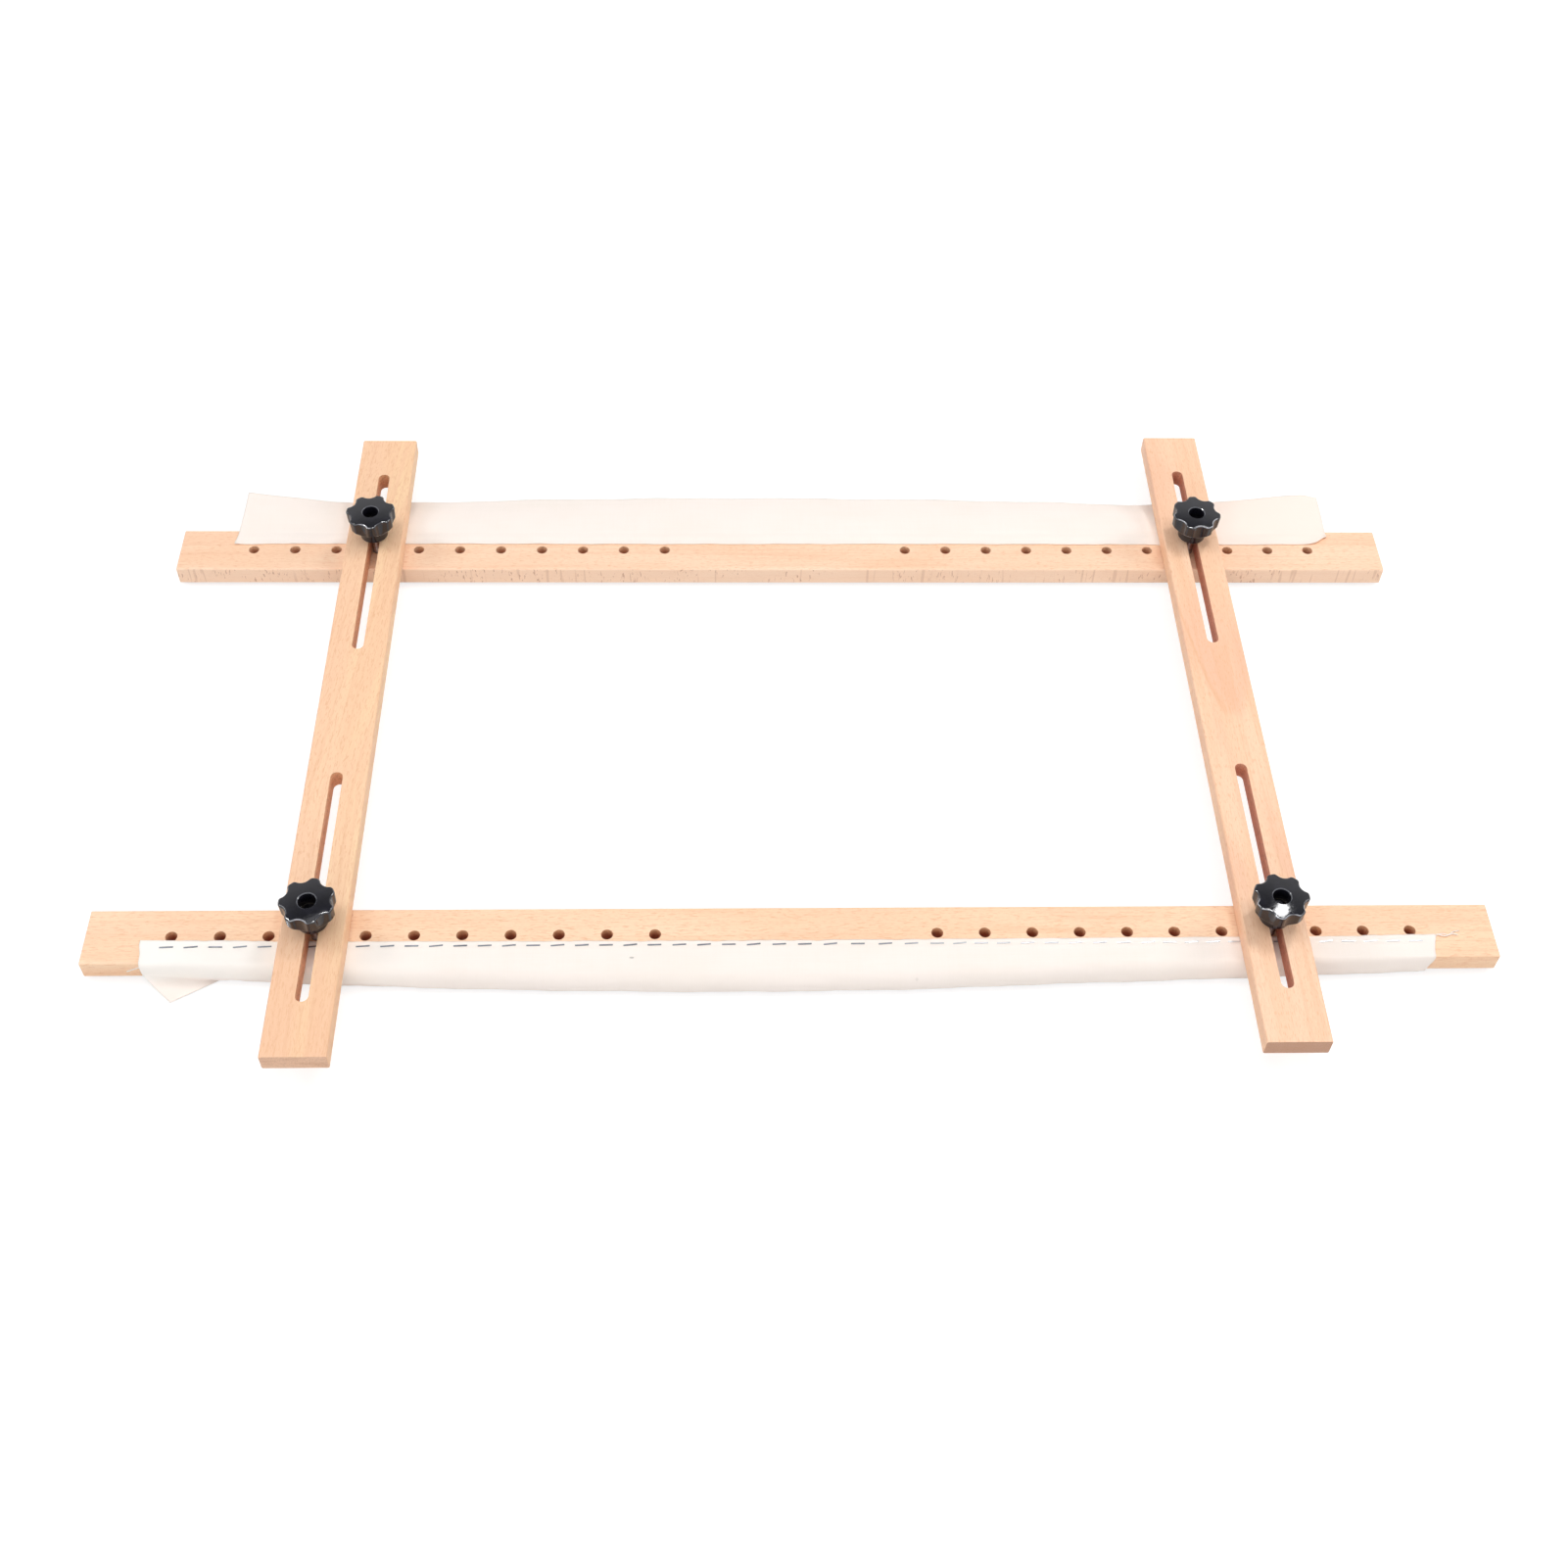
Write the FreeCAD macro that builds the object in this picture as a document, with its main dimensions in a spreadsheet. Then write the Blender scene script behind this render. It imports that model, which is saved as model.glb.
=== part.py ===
import FreeCAD, Part
import math
import os
import Sketcher

# A flat embroidery frame: two drilled wooden rails lie underneath, two slotted wooden
# side bars lie across them, and a bolt with a star knob clamps each corner. A canvas
# strip is stapled along each rail. Millimetres, X to the right, Y away from the
# worker, Z up. The origin is on the table under the middle of the frame.

DRIVING_SIZES = [
    ("hole_pitch", 25.4, "distance between neighbouring holes of a rail"),
    ("holes_per_group", 11, "holes in each half of a rail"),
    ("inner_hole_gap", 150, "distance between the two innermost holes"),
    ("rail_end_margin", 45, "outermost hole to the rail's end"),
    ("rail_hole_clearance", 0.2, "drilled hole round the bolt, on the radius"),
    ("rail_width", 34, "front to back"),
    ("rail_thickness", 12, "height of a rail"),
    ("rail_edge_round", 1.1, "radius on a rail's long edges"),
    ("rail_end_round", 0.5, "radius round a rail's ends"),
    ("front_row_inset", 78.1, "side bars' front ends to the front hole row"),
    ("back_row_inset", 89.7, "side bars' back ends to the back hole row"),
    ("bar_length", 456, "length of a side bar"),
    ("bar_width", 34, "left to right"),
    ("bar_thickness", 11, "height of a side bar"),
    ("bar_edge_round", 1, "radius on a side bar's long edges"),
    ("bar_end_round", 0.5, "radius round a side bar's ends"),
    ("bar_stagger", 4.6, "how much nearer the worker the left bar lies"),
    ("slot_clearance", 0.4, "slot beside the bolt, on each side"),
    ("slot_length", 149.3, "slot from end to end"),
    ("slot_end_margin", 32.3, "bar's end to the slot's end"),
    ("outer_hole_count", 3, "free holes between the bolt and the rail's end"),
    ("clamped_gap", 1, "canvas room between a rail and a side bar"),
    ("bolt_diameter", 6, "shank of the bolt"),
    ("bolt_overrun", 1.8, "shank above the knob's bush"),
    ("bolt_head_diameter", 15, "flat head under the rail"),
    ("bolt_head_height", 2, "the frame stands on the four heads"),
    ("bolt_head_round", 0.8, "radius on the head's outer rim"),
    ("bolt_socket_width", 4, "hexagon socket across its flats"),
    ("bolt_socket_depth", 1.2, "depth of the socket"),
    ("bolt_tip_bevel", 0.7, "bevel on the shank's tip"),
    ("knob_diameter", 29.6, "across the lobes"),
    ("knob_height", 20.2, "from the hub's foot to the top"),
    ("knob_hub_diameter", 16.6, "plain hub under the lobes"),
    ("knob_hub_height", 9.9, "hub's foot to the lobes"),
    ("knob_hub_bevel", 1.8, "bevel round the hub's foot"),
    ("knob_underside_bevel", 2.6, "how far the lobes' underside slopes up to their rim"),
    ("knob_taper", 0.5, "how far the lobes draw in towards their foot"),
    ("knob_lobes", 7, "lobes round the knob"),
    ("knob_flute_radius_share", 0.177, "radius of the hollow between two lobes, of the knob's diameter"),
    ("knob_flute_depth_share", 0.087, "depth of that hollow, of the knob's diameter"),
    ("knob_lobe_round_share", 0.071, "radius where a hollow meets a lobe, of the knob's diameter"),
    ("knob_edge_round_share", 0.03, "radius on the lobes' upper and lower rim, of the knob's diameter"),
    ("knob_recess_step", 0.2, "how much wider the open top is than the bush's seat, on the radius"),
    ("knob_recess_bevel", 0.5, "bevel on that hole's rim"),
    ("knob_clearance", 0.2, "hub's foot above the side bar"),
    ("front_left_knob_angle", 28.7, "degrees the knob is turned"),
    ("front_right_knob_angle", 0, "degrees the knob is turned"),
    ("back_left_knob_angle", 20.7, "degrees the knob is turned"),
    ("back_right_knob_angle", 40.6, "degrees the knob is turned"),
    ("bush_diameter", 9, "threaded bush inside the knob"),
    ("bush_length", 12, "height of the bush"),
    ("bush_thread_clearance", 0.1, "shank to the bush's bore, on the radius"),
    ("bush_fit_clearance", 0.05, "bush to the knob, on the radius"),
    ("bush_groove_depth", 0.6, "groove that holds the bush in the knob"),
    ("bush_groove_width", 2, "height of that groove"),
    ("cloth_end_inset", 31, "rail's end to the canvas strip's end"),
    ("cloth_width", 52, "each canvas strip as cut"),
    ("cloth_thickness", 0.4, "one layer of canvas"),
    ("cloth_floor_clearance", 0.4, "canvas above the table"),
    ("front_seam_inset", 12.6, "front strip's folded edge to the rail's front edge"),
    ("front_hem_width", 10, "turned under along the front strip"),
    ("front_bulge", 10.45, "how far the front strip bellies out at its middle"),
    ("front_bulge_end_share", 0.09, "how far it bellies out at its ends, of the middle"),
    ("front_fold_height", 4.1, "height of the belly's outermost line"),
    ("front_fold_radius", 3.8, "turn where the strip goes under the rail"),
    ("front_tuck_inset", 8.6, "tucked edge to the rail's front edge"),
    ("front_flap_reach", 14.85, "how far the loose left corner sticks out"),
    ("back_seam_inset", 12.1, "back strip's folded edge to the rail's back edge"),
    ("back_hem_width", 6.5, "turned under along the back strip"),
    ("back_droop", 11, "how far the back strip's free edge sags"),
    ("staple_count", 53, "staples along each strip"),
    ("staple_end_margin", 12.7, "strip's end to its first staple"),
    ("staple_seam_inset", 2.7, "strip's folded edge to the staples"),
    ("staple_crown", 7.2, "outside width of a staple"),
    ("staple_leg", 6, "length of a staple's leg"),
    ("staple_wire_width", 0.7, "flat wire, across"),
    ("staple_wire_thickness", 0.5, "flat wire, through"),
    ("staple_proud", 0.08, "crown above the canvas"),
    ("staple_lean", 3.5, "degrees that every staple is turned"),
    ("staple_tilt", 3, "degrees a staple may be turned besides"),
]

# The belly of the front strip and its loose left corner. Each row is a place along
# the strip as a share of half its length, then five points of the strip's middle line
# past the rail's edge: the share of the corner's reach, and the share of the height.
FLAP_SHARES = [
    (-1.0, [(0.020, 0.950), (0.040, 0.880), (0.055, 0.820), (0.065, 0.760), (0.080, 0.700)]),
    (-0.953, [(0.120, 0.930), (0.350, 0.680), (0.550, 0.400), (0.800, 0.140), (1.000, 0.000)]),
    (-0.918, [(0.190, 0.930), (0.400, 0.600), (0.490, 0.330), (0.560, 0.100), (0.600, 0.000)]),
]
BELLY_SHARES = [-0.883, -0.8, -0.6, -0.4, -0.2, 0, 0.2, 0.4, 0.6, 0.8, 1.0]

# How far the back strip's free edge sags, as shares of its deepest sag.
DROOP_SHARES = [
    (-1.0, 0.02), (-0.9, 0.36), (-0.8, 0.72), (-0.67, 0.74), (-0.44, 0.50), (-0.18, 0.40), (0, 0.44),
    (0.27, 0.63), (0.51, 0.85), (0.67, 1.0), (0.81, 0.83), (0.9, 0.38), (1.0, 0.02),
]
DROOP_MIDDLE_SHARE = 0.3
STAPLE_WANDER_SHARE = 2.4

# How far the staples stray from an even row. Each row is a place along it, as a share
# of its length, and the stray to the right, as a share of the step between staples.
STAPLE_DRIFT_SHARES = [
    (0, 0), (0.154, 0.055), (0.385, 0.087), (0.46, 0.2), (0.52, 0.4), (0.56, 0.71), (0.60, 0.87),
    (0.65, 0.63), (0.69, 0.65), (0.77, 0.70), (0.85, 0.34), (0.92, 0.21), (1, 0.02),
]
QUARTER_SHARE = math.cos(math.pi / 4)

document = FreeCAD.newDocument("embroidery_frame")
sheet = document.addObject("Spreadsheet::Sheet", "dimensions")


def fill_sheet():
    for row, (alias, number, note) in enumerate(DRIVING_SIZES, start=1):
        sheet.set(f"A{row}", alias)
        sheet.set(f"B{row}", str(number))
        sheet.set(f"C{row}", note)
        sheet.setAlias(f"B{row}", alias)
    document.recompute()


def size(expression):
    """What an expression in the sheet's aliases comes to."""
    return float(sheet.evalExpression(expression))


def bound(expression):
    """The same expression as other objects of the document write it."""
    words = []
    word = ""
    for letter in expression + " ":
        if letter.isalnum() or letter == "_":
            word += letter
            continue
        words.append(f"dimensions.{word}" if word in ALIASES else word)
        words.append(letter)
        word = ""
    return "".join(words).strip()


def bind(feature, path, expression):
    feature.setExpression(path, bound(expression))


ALIASES = {alias for alias, number, note in DRIVING_SIZES}
RAIL_LENGTH = "(inner_hole_gap + 2 * (holes_per_group - 1) * hole_pitch + 2 * rail_end_margin)"
BOLT_REACH = "(inner_hole_gap / 2 + (holes_per_group - 1 - outer_hole_count) * hole_pitch)"
RAIL_HOLE = "(bolt_diameter + 2 * rail_hole_clearance)"
SLOT_WIDTH = "(bolt_diameter + 2 * slot_clearance)"
RAIL_TOP = "(bolt_head_height + rail_thickness)"
BAR_FOOT = "(bolt_head_height + rail_thickness + clamped_gap)"
KNOB_FOOT = "(bolt_head_height + rail_thickness + clamped_gap + bar_thickness + knob_clearance)"
BOLT_TIP = f"({KNOB_FOOT} + bush_length + bolt_overrun)"
FRONT_ROW = "(front_row_inset - bar_length / 2)"
BACK_ROW = "(bar_length / 2 - back_row_inset)"
FLUTE_RADIUS = "(knob_flute_radius_share * knob_diameter)"
FLUTE_DEPTH = "(knob_flute_depth_share * knob_diameter)"
CLOTH_LENGTH = f"({RAIL_LENGTH} - 2 * cloth_end_inset)"
FRONT_SEAM = "(rail_width / 2 - front_seam_inset)"
BACK_SEAM = "(rail_width / 2 - back_seam_inset)"


def new_body(name):
    body = document.addObject("PartDesign::Body", name)
    body.Label = name
    return body


def origin_part(body, role):
    for feature in body.Origin.OriginFeatures:
        if feature.Role == role:
            return feature
    raise ValueError(role)


def new_sketch(body, name, role, height=None):
    sketch = body.newObject("Sketcher::SketchObject", name)
    sketch.AttachmentSupport = [(origin_part(body, role), "")]
    sketch.MapMode = "FlatFace"
    if height is not None:
        bind(sketch, "AttachmentOffset.Base.z", height)
    return sketch


def place(body, x=None, y=None, z=None, angle=None):
    for axis, expression in (("x", x), ("y", y), ("z", z)):
        if expression is not None:
            bind(body, f"Placement.Base.{axis}", expression)
    if angle is not None:
        bind(body, "Placement.Rotation.Angle", angle)


def driven(sketch, constraint, name, expression):
    index = sketch.addConstraint(constraint)
    sketch.renameConstraint(index, name)
    bind(sketch, f"Constraints.{name}", expression)


def draw_rectangle(sketch, length, width):
    """A rectangle centred on the sketch's origin."""
    half_x, half_y = size(length) / 2, size(width) / 2
    corners = [(-half_x, -half_y), (half_x, -half_y), (half_x, half_y), (-half_x, half_y)]
    for start, end in zip(corners, corners[1:] + corners[:1]):
        sketch.addGeometry(Part.LineSegment(FreeCAD.Vector(*start, 0), FreeCAD.Vector(*end, 0)), False)
    for side in range(4):
        sketch.addConstraint(Sketcher.Constraint("Coincident", side, 2, (side + 1) % 4, 1))
        sketch.addConstraint(Sketcher.Constraint("Vertical" if side % 2 else "Horizontal", side))
    sketch.addConstraint(Sketcher.Constraint("Symmetric", 0, 1, 1, 2, -1, 1))
    driven(sketch, Sketcher.Constraint("DistanceX", 0, 1, 0, 2, size(length)), "outline_length", length)
    driven(sketch, Sketcher.Constraint("DistanceY", 1, 1, 1, 2, size(width)), "outline_width", width)


def draw_circle(sketch, diameter, reach):
    """A circle on the sketch's first axis, reach away from the origin."""
    centre = FreeCAD.Vector(size(reach), 0, 0)
    sketch.addGeometry(Part.Circle(centre, FreeCAD.Vector(0, 0, 1), size(diameter) / 2), False)
    sketch.addConstraint(Sketcher.Constraint("PointOnObject", 0, 3, -1))
    driven(sketch, Sketcher.Constraint("DistanceX", -1, 1, 0, 3, size(reach)), "reach", reach)
    driven(sketch, Sketcher.Constraint("Diameter", 0, size(diameter)), "bore", diameter)


def draw_slot(sketch, width, near, far):
    """A round-ended slot along the second axis, from near to far."""
    radius = size(width) / 2
    first, second = size(near) + radius, size(far) - radius
    up = FreeCAD.Vector(0, 0, 1)
    low_circle = Part.Circle(FreeCAD.Vector(0, first, 0), up, radius)
    high_circle = Part.Circle(FreeCAD.Vector(0, second, 0), up, radius)
    right_low, right_high = FreeCAD.Vector(radius, first, 0), FreeCAD.Vector(radius, second, 0)
    left_low, left_high = FreeCAD.Vector(-radius, first, 0), FreeCAD.Vector(-radius, second, 0)
    sketch.addGeometry(Part.ArcOfCircle(low_circle, math.pi, 2 * math.pi), False)
    sketch.addGeometry(Part.LineSegment(right_low, right_high), False)
    sketch.addGeometry(Part.ArcOfCircle(high_circle, 0, math.pi), False)
    sketch.addGeometry(Part.LineSegment(left_high, left_low), False)
    for side in range(4):
        sketch.addConstraint(Sketcher.Constraint("Tangent", side, 2, (side + 1) % 4, 1))
    sketch.addConstraint(Sketcher.Constraint("PointOnObject", 0, 3, -2))
    sketch.addConstraint(Sketcher.Constraint("PointOnObject", 2, 3, -2))
    driven(sketch, Sketcher.Constraint("Radius", 0, radius), "slot_radius", f"{width} / 2")
    driven(sketch, Sketcher.Constraint("DistanceY", -1, 1, 0, 3, first), "slot_near", f"{near} + {width} / 2")
    driven(sketch, Sketcher.Constraint("DistanceY", -1, 1, 2, 3, second), "slot_far", f"{far} - {width} / 2")


def draw_outline(sketch, corners):
    """A closed outline whose corners are pairs of expressions, each measured from the origin."""
    points = [FreeCAD.Vector(size(across), size(up), 0) for across, up in corners]
    for start, end in zip(points, points[1:] + points[:1]):
        sketch.addGeometry(Part.LineSegment(start, end), False)
    count = len(corners)
    for side in range(count):
        sketch.addConstraint(Sketcher.Constraint("Coincident", side, 2, (side + 1) % count, 1))
    for corner, (across, up) in enumerate(corners):
        if points[corner].x == 0:
            sketch.addConstraint(Sketcher.Constraint("PointOnObject", corner, 1, -2))
        else:
            rule = Sketcher.Constraint("DistanceX", -1, 1, corner, 1, points[corner].x)
            driven(sketch, rule, f"across_{corner}", across)
        if points[corner].y == 0:
            sketch.addConstraint(Sketcher.Constraint("PointOnObject", corner, 1, -1))
        else:
            rule = Sketcher.Constraint("DistanceY", -1, 1, corner, 1, points[corner].y)
            driven(sketch, rule, f"up_{corner}", up)


def add_pad(body, sketch, height):
    pad = body.newObject("PartDesign::Pad", sketch.Name + "_pad")
    pad.Profile = sketch
    bind(pad, "Length", height)
    document.recompute()
    return pad


def add_cut(body, sketch, upward):
    cut = body.newObject("PartDesign::Pocket", sketch.Name + "_cut")
    cut.Profile = sketch
    cut.Type = "ThroughAll"
    cut.Reversed = upward
    document.recompute()
    return cut


def add_turn(body, sketch):
    turn = body.newObject("PartDesign::Revolution", sketch.Name + "_turn")
    turn.Profile = sketch
    turn.ReferenceAxis = (sketch, ["V_Axis"])
    turn.Angle = 360
    document.recompute()
    return turn


def round_edges(body, base, names, radius):
    fillet = body.newObject("PartDesign::Fillet", base.Name + "_rounded")
    fillet.Base = (base, names)
    bind(fillet, "Radius", radius)
    document.recompute()
    return fillet


def round_stock(body, stock, axis, side_radius, end_radius):
    """Rounds a bar's long edges, then the edges round both of its ends."""

    def edges_of(feature, along):
        """The edges that run along the bar, or those that do not."""
        return [
            f"Edge{number}" for number, edge in enumerate(feature.Shape.Edges, start=1)
            if (getattr(edge.BoundBox, f"{axis}Length") > size(end_radius)) == along
        ]

    sides = round_edges(body, stock, edges_of(stock, True), side_radius)
    return round_edges(body, sides, edges_of(sides, False), end_radius)


def make_rail(name, row):
    """A flat bar drilled with two groups of holes along its centre line."""
    body = new_body(name)
    outline = new_sketch(body, f"{name}_outline", "XY_Plane")
    draw_rectangle(outline, RAIL_LENGTH, "rail_width")
    stock = add_pad(body, outline, "rail_thickness")
    round_stock(body, stock, "X", "rail_edge_round", "rail_end_round")
    for side, reach in (("right", "inner_hole_gap / 2"), ("left", "-inner_hole_gap / 2")):
        first_hole = new_sketch(body, f"{name}_{side}_hole", "XY_Plane")
        draw_circle(first_hole, RAIL_HOLE, reach)
        hole = add_cut(body, first_hole, True)
        row_of_holes = body.newObject("PartDesign::LinearPattern", f"{name}_{side}_row")
        row_of_holes.Originals = [hole]
        row_of_holes.Direction = (origin_part(body, "X_Axis"), [""])
        row_of_holes.Reversed = side == "left"
        bind(row_of_holes, "Length", "(holes_per_group - 1) * hole_pitch")
        bind(row_of_holes, "Occurrences", "holes_per_group")
        body.Tip = row_of_holes
        document.recompute()
    place(body, y=row, z="bolt_head_height")
    return body


def make_side_bar(name, side):
    """A flat bar with a long slot in each half."""
    body = new_body(name)
    outline = new_sketch(body, f"{name}_outline", "XY_Plane")
    draw_rectangle(outline, "bar_width", "bar_length")
    stock = add_pad(body, outline, "bar_thickness")
    round_stock(body, stock, "Y", "bar_edge_round", "bar_end_round")
    inner = "(bar_length / 2 - slot_end_margin - slot_length)"
    outer = "(bar_length / 2 - slot_end_margin)"
    for half, near, far in (("back", inner, outer), ("front", f"(-{outer})", f"(-{inner})")):
        slot = new_sketch(body, f"{name}_{half}_slot", "XY_Plane")
        draw_slot(slot, SLOT_WIDTH, near, far)
        add_cut(body, slot, True)
    place(body, x=f"{side} * {BOLT_REACH}", y=f"{side} * bar_stagger / 2", z=BAR_FOOT)
    return body


def make_bolt(name, side, row):
    """A flat-headed bolt with a hexagon socket, head down."""
    body = new_body(name)
    profile = new_sketch(body, f"{name}_profile", "XZ_Plane")
    draw_outline(profile, [
        ("0", "0"),
        ("bolt_head_diameter / 2", "0"),
        ("bolt_head_diameter / 2", "bolt_head_height"),
        ("bolt_diameter / 2", "bolt_head_height"),
        ("bolt_diameter / 2", f"{BOLT_TIP} - bolt_tip_bevel"),
        ("bolt_diameter / 2 - bolt_tip_bevel", BOLT_TIP),
        ("0", BOLT_TIP),
    ])
    turned = add_turn(body, profile)
    rim = [
        f"Edge{number}" for number, edge in enumerate(turned.Shape.Edges, start=1)
        if edge.BoundBox.ZMax < size("bolt_head_height / 2") and is_ring(edge, "bolt_head_diameter / 2")
    ]
    round_edges(body, turned, rim, "bolt_head_round")
    socket = new_sketch(body, f"{name}_socket", "XY_Plane")
    draw_hexagon(socket, "bolt_socket_width")
    cut = add_cut(body, socket, True)
    cut.Type = "Length"
    bind(cut, "Length", "bolt_socket_depth")
    document.recompute()
    place(body, x=f"{side} * {BOLT_REACH}", y=row)
    return body


def is_ring(edge, radius):
    """Whether an edge is round and has that radius."""
    curve = getattr(edge, "Curve", None)
    return hasattr(curve, "Radius") and math.isclose(curve.Radius, size(radius), rel_tol=1e-6)


def draw_hexagon(sketch, width):
    """A hexagon round the origin, given across its flats."""
    radius = size(width) / math.sqrt(3)
    points = [
        FreeCAD.Vector(radius * math.cos(math.pi / 3 * step), radius * math.sin(math.pi / 3 * step), 0)
        for step in range(6)
    ]
    for start, end in zip(points, points[1:] + points[:1]):
        sketch.addGeometry(Part.LineSegment(start, end), False)
    sketch.addGeometry(Part.Circle(FreeCAD.Vector(0, 0, 0), FreeCAD.Vector(0, 0, 1), radius), True)
    for side in range(6):
        sketch.addConstraint(Sketcher.Constraint("Coincident", side, 2, (side + 1) % 6, 1))
        sketch.addConstraint(Sketcher.Constraint("PointOnObject", side, 1, 6))
        if side:
            sketch.addConstraint(Sketcher.Constraint("Equal", 0, side))
    sketch.addConstraint(Sketcher.Constraint("Coincident", 6, 3, -1, 1))
    sketch.addConstraint(Sketcher.Constraint("PointOnObject", 0, 1, -1))
    driven(sketch, Sketcher.Constraint("Radius", 6, radius), "socket_radius", f"{width} / sqrt(3)")


def make_bush(name, side, row):
    """The threaded metal bush inside a knob, with a groove that the plastic fills."""
    body = new_body(name)
    profile = new_sketch(body, f"{name}_profile", "XZ_Plane")
    bore = "bolt_diameter / 2 + bush_thread_clearance"
    wall = "bush_diameter / 2"
    draw_outline(profile, [
        (bore, "0"),
        (wall, "0"),
        (wall, "bush_length / 2 - bush_groove_width / 2"),
        (f"{wall} - bush_groove_depth", "bush_length / 2 - bush_groove_width / 2"),
        (f"{wall} - bush_groove_depth", "bush_length / 2 + bush_groove_width / 2"),
        (wall, "bush_length / 2 + bush_groove_width / 2"),
        (wall, "bush_length"),
        (bore, "bush_length"),
    ])
    add_turn(body, profile)
    place(body, x=f"{side} * {BOLT_REACH}", y=row, z=KNOB_FOOT)
    return body


def make_knob(name, side, row, angle):
    """A star knob: a hub, a lobed head, an open top and the seat of its bush."""
    body = new_body(name)
    profile = new_sketch(body, f"{name}_profile", "XZ_Plane")
    seat = "bush_diameter / 2 + bush_fit_clearance"
    recess = f"{seat} + knob_recess_step"
    low_step = "bush_length / 2 - bush_groove_width / 2 + bush_fit_clearance"
    high_step = "bush_length / 2 + bush_groove_width / 2 - bush_fit_clearance"
    draw_outline(profile, [
        (seat, "0"),
        ("knob_hub_diameter / 2 - knob_hub_bevel", "0"),
        ("knob_hub_diameter / 2", "knob_hub_bevel"),
        ("knob_hub_diameter / 2", "knob_hub_height"),
        ("knob_diameter / 2 - knob_taper - knob_underside_bevel", "knob_hub_height"),
        ("knob_diameter / 2 - knob_taper", "knob_hub_height + knob_underside_bevel"),
        ("knob_diameter / 2", "knob_height"),
        (f"{recess} + knob_recess_bevel", "knob_height"),
        (recess, "knob_height - knob_recess_bevel"),
        (recess, "bush_length + bush_fit_clearance"),
        (seat, "bush_length + bush_fit_clearance"),
        (seat, high_step),
        (f"{seat} - bush_groove_depth", high_step),
        (f"{seat} - bush_groove_depth", low_step),
        (seat, low_step),
    ])
    add_turn(body, profile)
    flute = new_sketch(body, f"{name}_flute", "XY_Plane", "knob_hub_height")
    draw_circle(flute, f"2 * {FLUTE_RADIUS}", f"knob_diameter / 2 + {FLUTE_RADIUS} - {FLUTE_DEPTH}")
    cut = add_cut(body, flute, True)
    flutes = body.newObject("PartDesign::PolarPattern", f"{name}_flutes")
    flutes.Originals = [cut]
    flutes.Axis = (origin_part(body, "Z_Axis"), [""])
    flutes.Angle = 360
    bind(flutes, "Occurrences", "knob_lobes")
    body.Tip = flutes
    document.recompute()
    corners = [
        f"Edge{number}" for number, edge in enumerate(flutes.Shape.Edges, start=1) if is_lobe_corner(edge)
    ]
    lobes = round_edges(body, flutes, corners, "knob_lobe_round_share * knob_diameter")
    rims = [
        f"Edge{number}" for number, edge in enumerate(lobes.Shape.Edges, start=1) if is_lobe_rim(edge)
    ]
    round_edges(body, lobes, rims, "knob_edge_round_share * knob_diameter")
    # The flutes start on the first axis, so a lobe points half a step away from it.
    turn = f"{angle} + 180 / knob_lobes"
    place(body, x=f"{side} * {BOLT_REACH}", y=row, z=KNOB_FOOT, angle=turn)
    return body


def is_lobe_corner(edge):
    """Whether an edge runs up the head, where a flute meets the outer wall."""
    box = edge.BoundBox
    tall = box.ZLength > size("(knob_height - knob_hub_height) / 2")
    outside = math.hypot(*box.Center[:2]) > size(f"knob_diameter / 2 - {FLUTE_DEPTH}")
    return tall and outside


def is_lobe_rim(edge):
    """Whether an edge belongs to the star-shaped outline of the head's top or foot."""
    box = edge.BoundBox
    level = box.ZLength < size("knob_taper / 2")
    head = box.ZMin > size("knob_hub_height / 2")
    middle = edge.valueAt(edge.FirstParameter)
    outside = math.hypot(middle.x, middle.y) > size(f"knob_diameter / 2 - {FLUTE_DEPTH} - knob_taper")
    return level and head and outside


def band_outline(x, row, towards, base, path, kinds):
    """The cross-section of a strip of canvas at x, as a closed wire.

    base holds the corners of the folded hem on the rail, and path the middle line of
    the single layer beyond it, both as (distance from the hole row, height). Each
    letter of kinds takes the next points of the path: L a line, A an arc.
    """
    half = size("cloth_thickness") / 2
    outer, inner = [], []
    for index, point in enumerate(path):
        before = path[max(index - 1, 0)]
        after = path[min(index + 1, len(path) - 1)]
        run, rise = after[0] - before[0], after[1] - before[1]
        length = math.hypot(run, rise)
        if index == 0:
            run, rise, length = 1, 0, 1
        outer.append((point[0] - half * rise / length, point[1] + half * run / length))
        inner.append((point[0] + half * rise / length, point[1] - half * run / length))
    edges = []

    def spot(pair):
        return FreeCAD.Vector(x, row + towards * pair[0], pair[1])

    def chain(points, order):
        at = 0
        for kind in order:
            if kind == "L":
                edges.append(Part.makeLine(spot(points[at]), spot(points[at + 1])))
                at += 1
            else:
                edges.append(Part.Arc(*[spot(point) for point in points[at:at + 3]]).toShape())
                at += 2

    chain(base + [outer[0]], "L" * len(base))
    chain(outer, kinds)
    chain([outer[-1], inner[-1]], "L")
    chain(inner[::-1], kinds[::-1])
    chain([inner[0], base[0]], "L")
    return Part.Wire(edges)


def hem_corners(seam, hem, foot):
    """The two corners of a strip's folded edge and the end of its turned-under hem."""
    double = 2 * size("cloth_thickness")
    return [
        (size(seam), foot),
        (size(seam), foot + double),
        (size(f"{seam} + {hem}"), foot + double),
    ]


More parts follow.
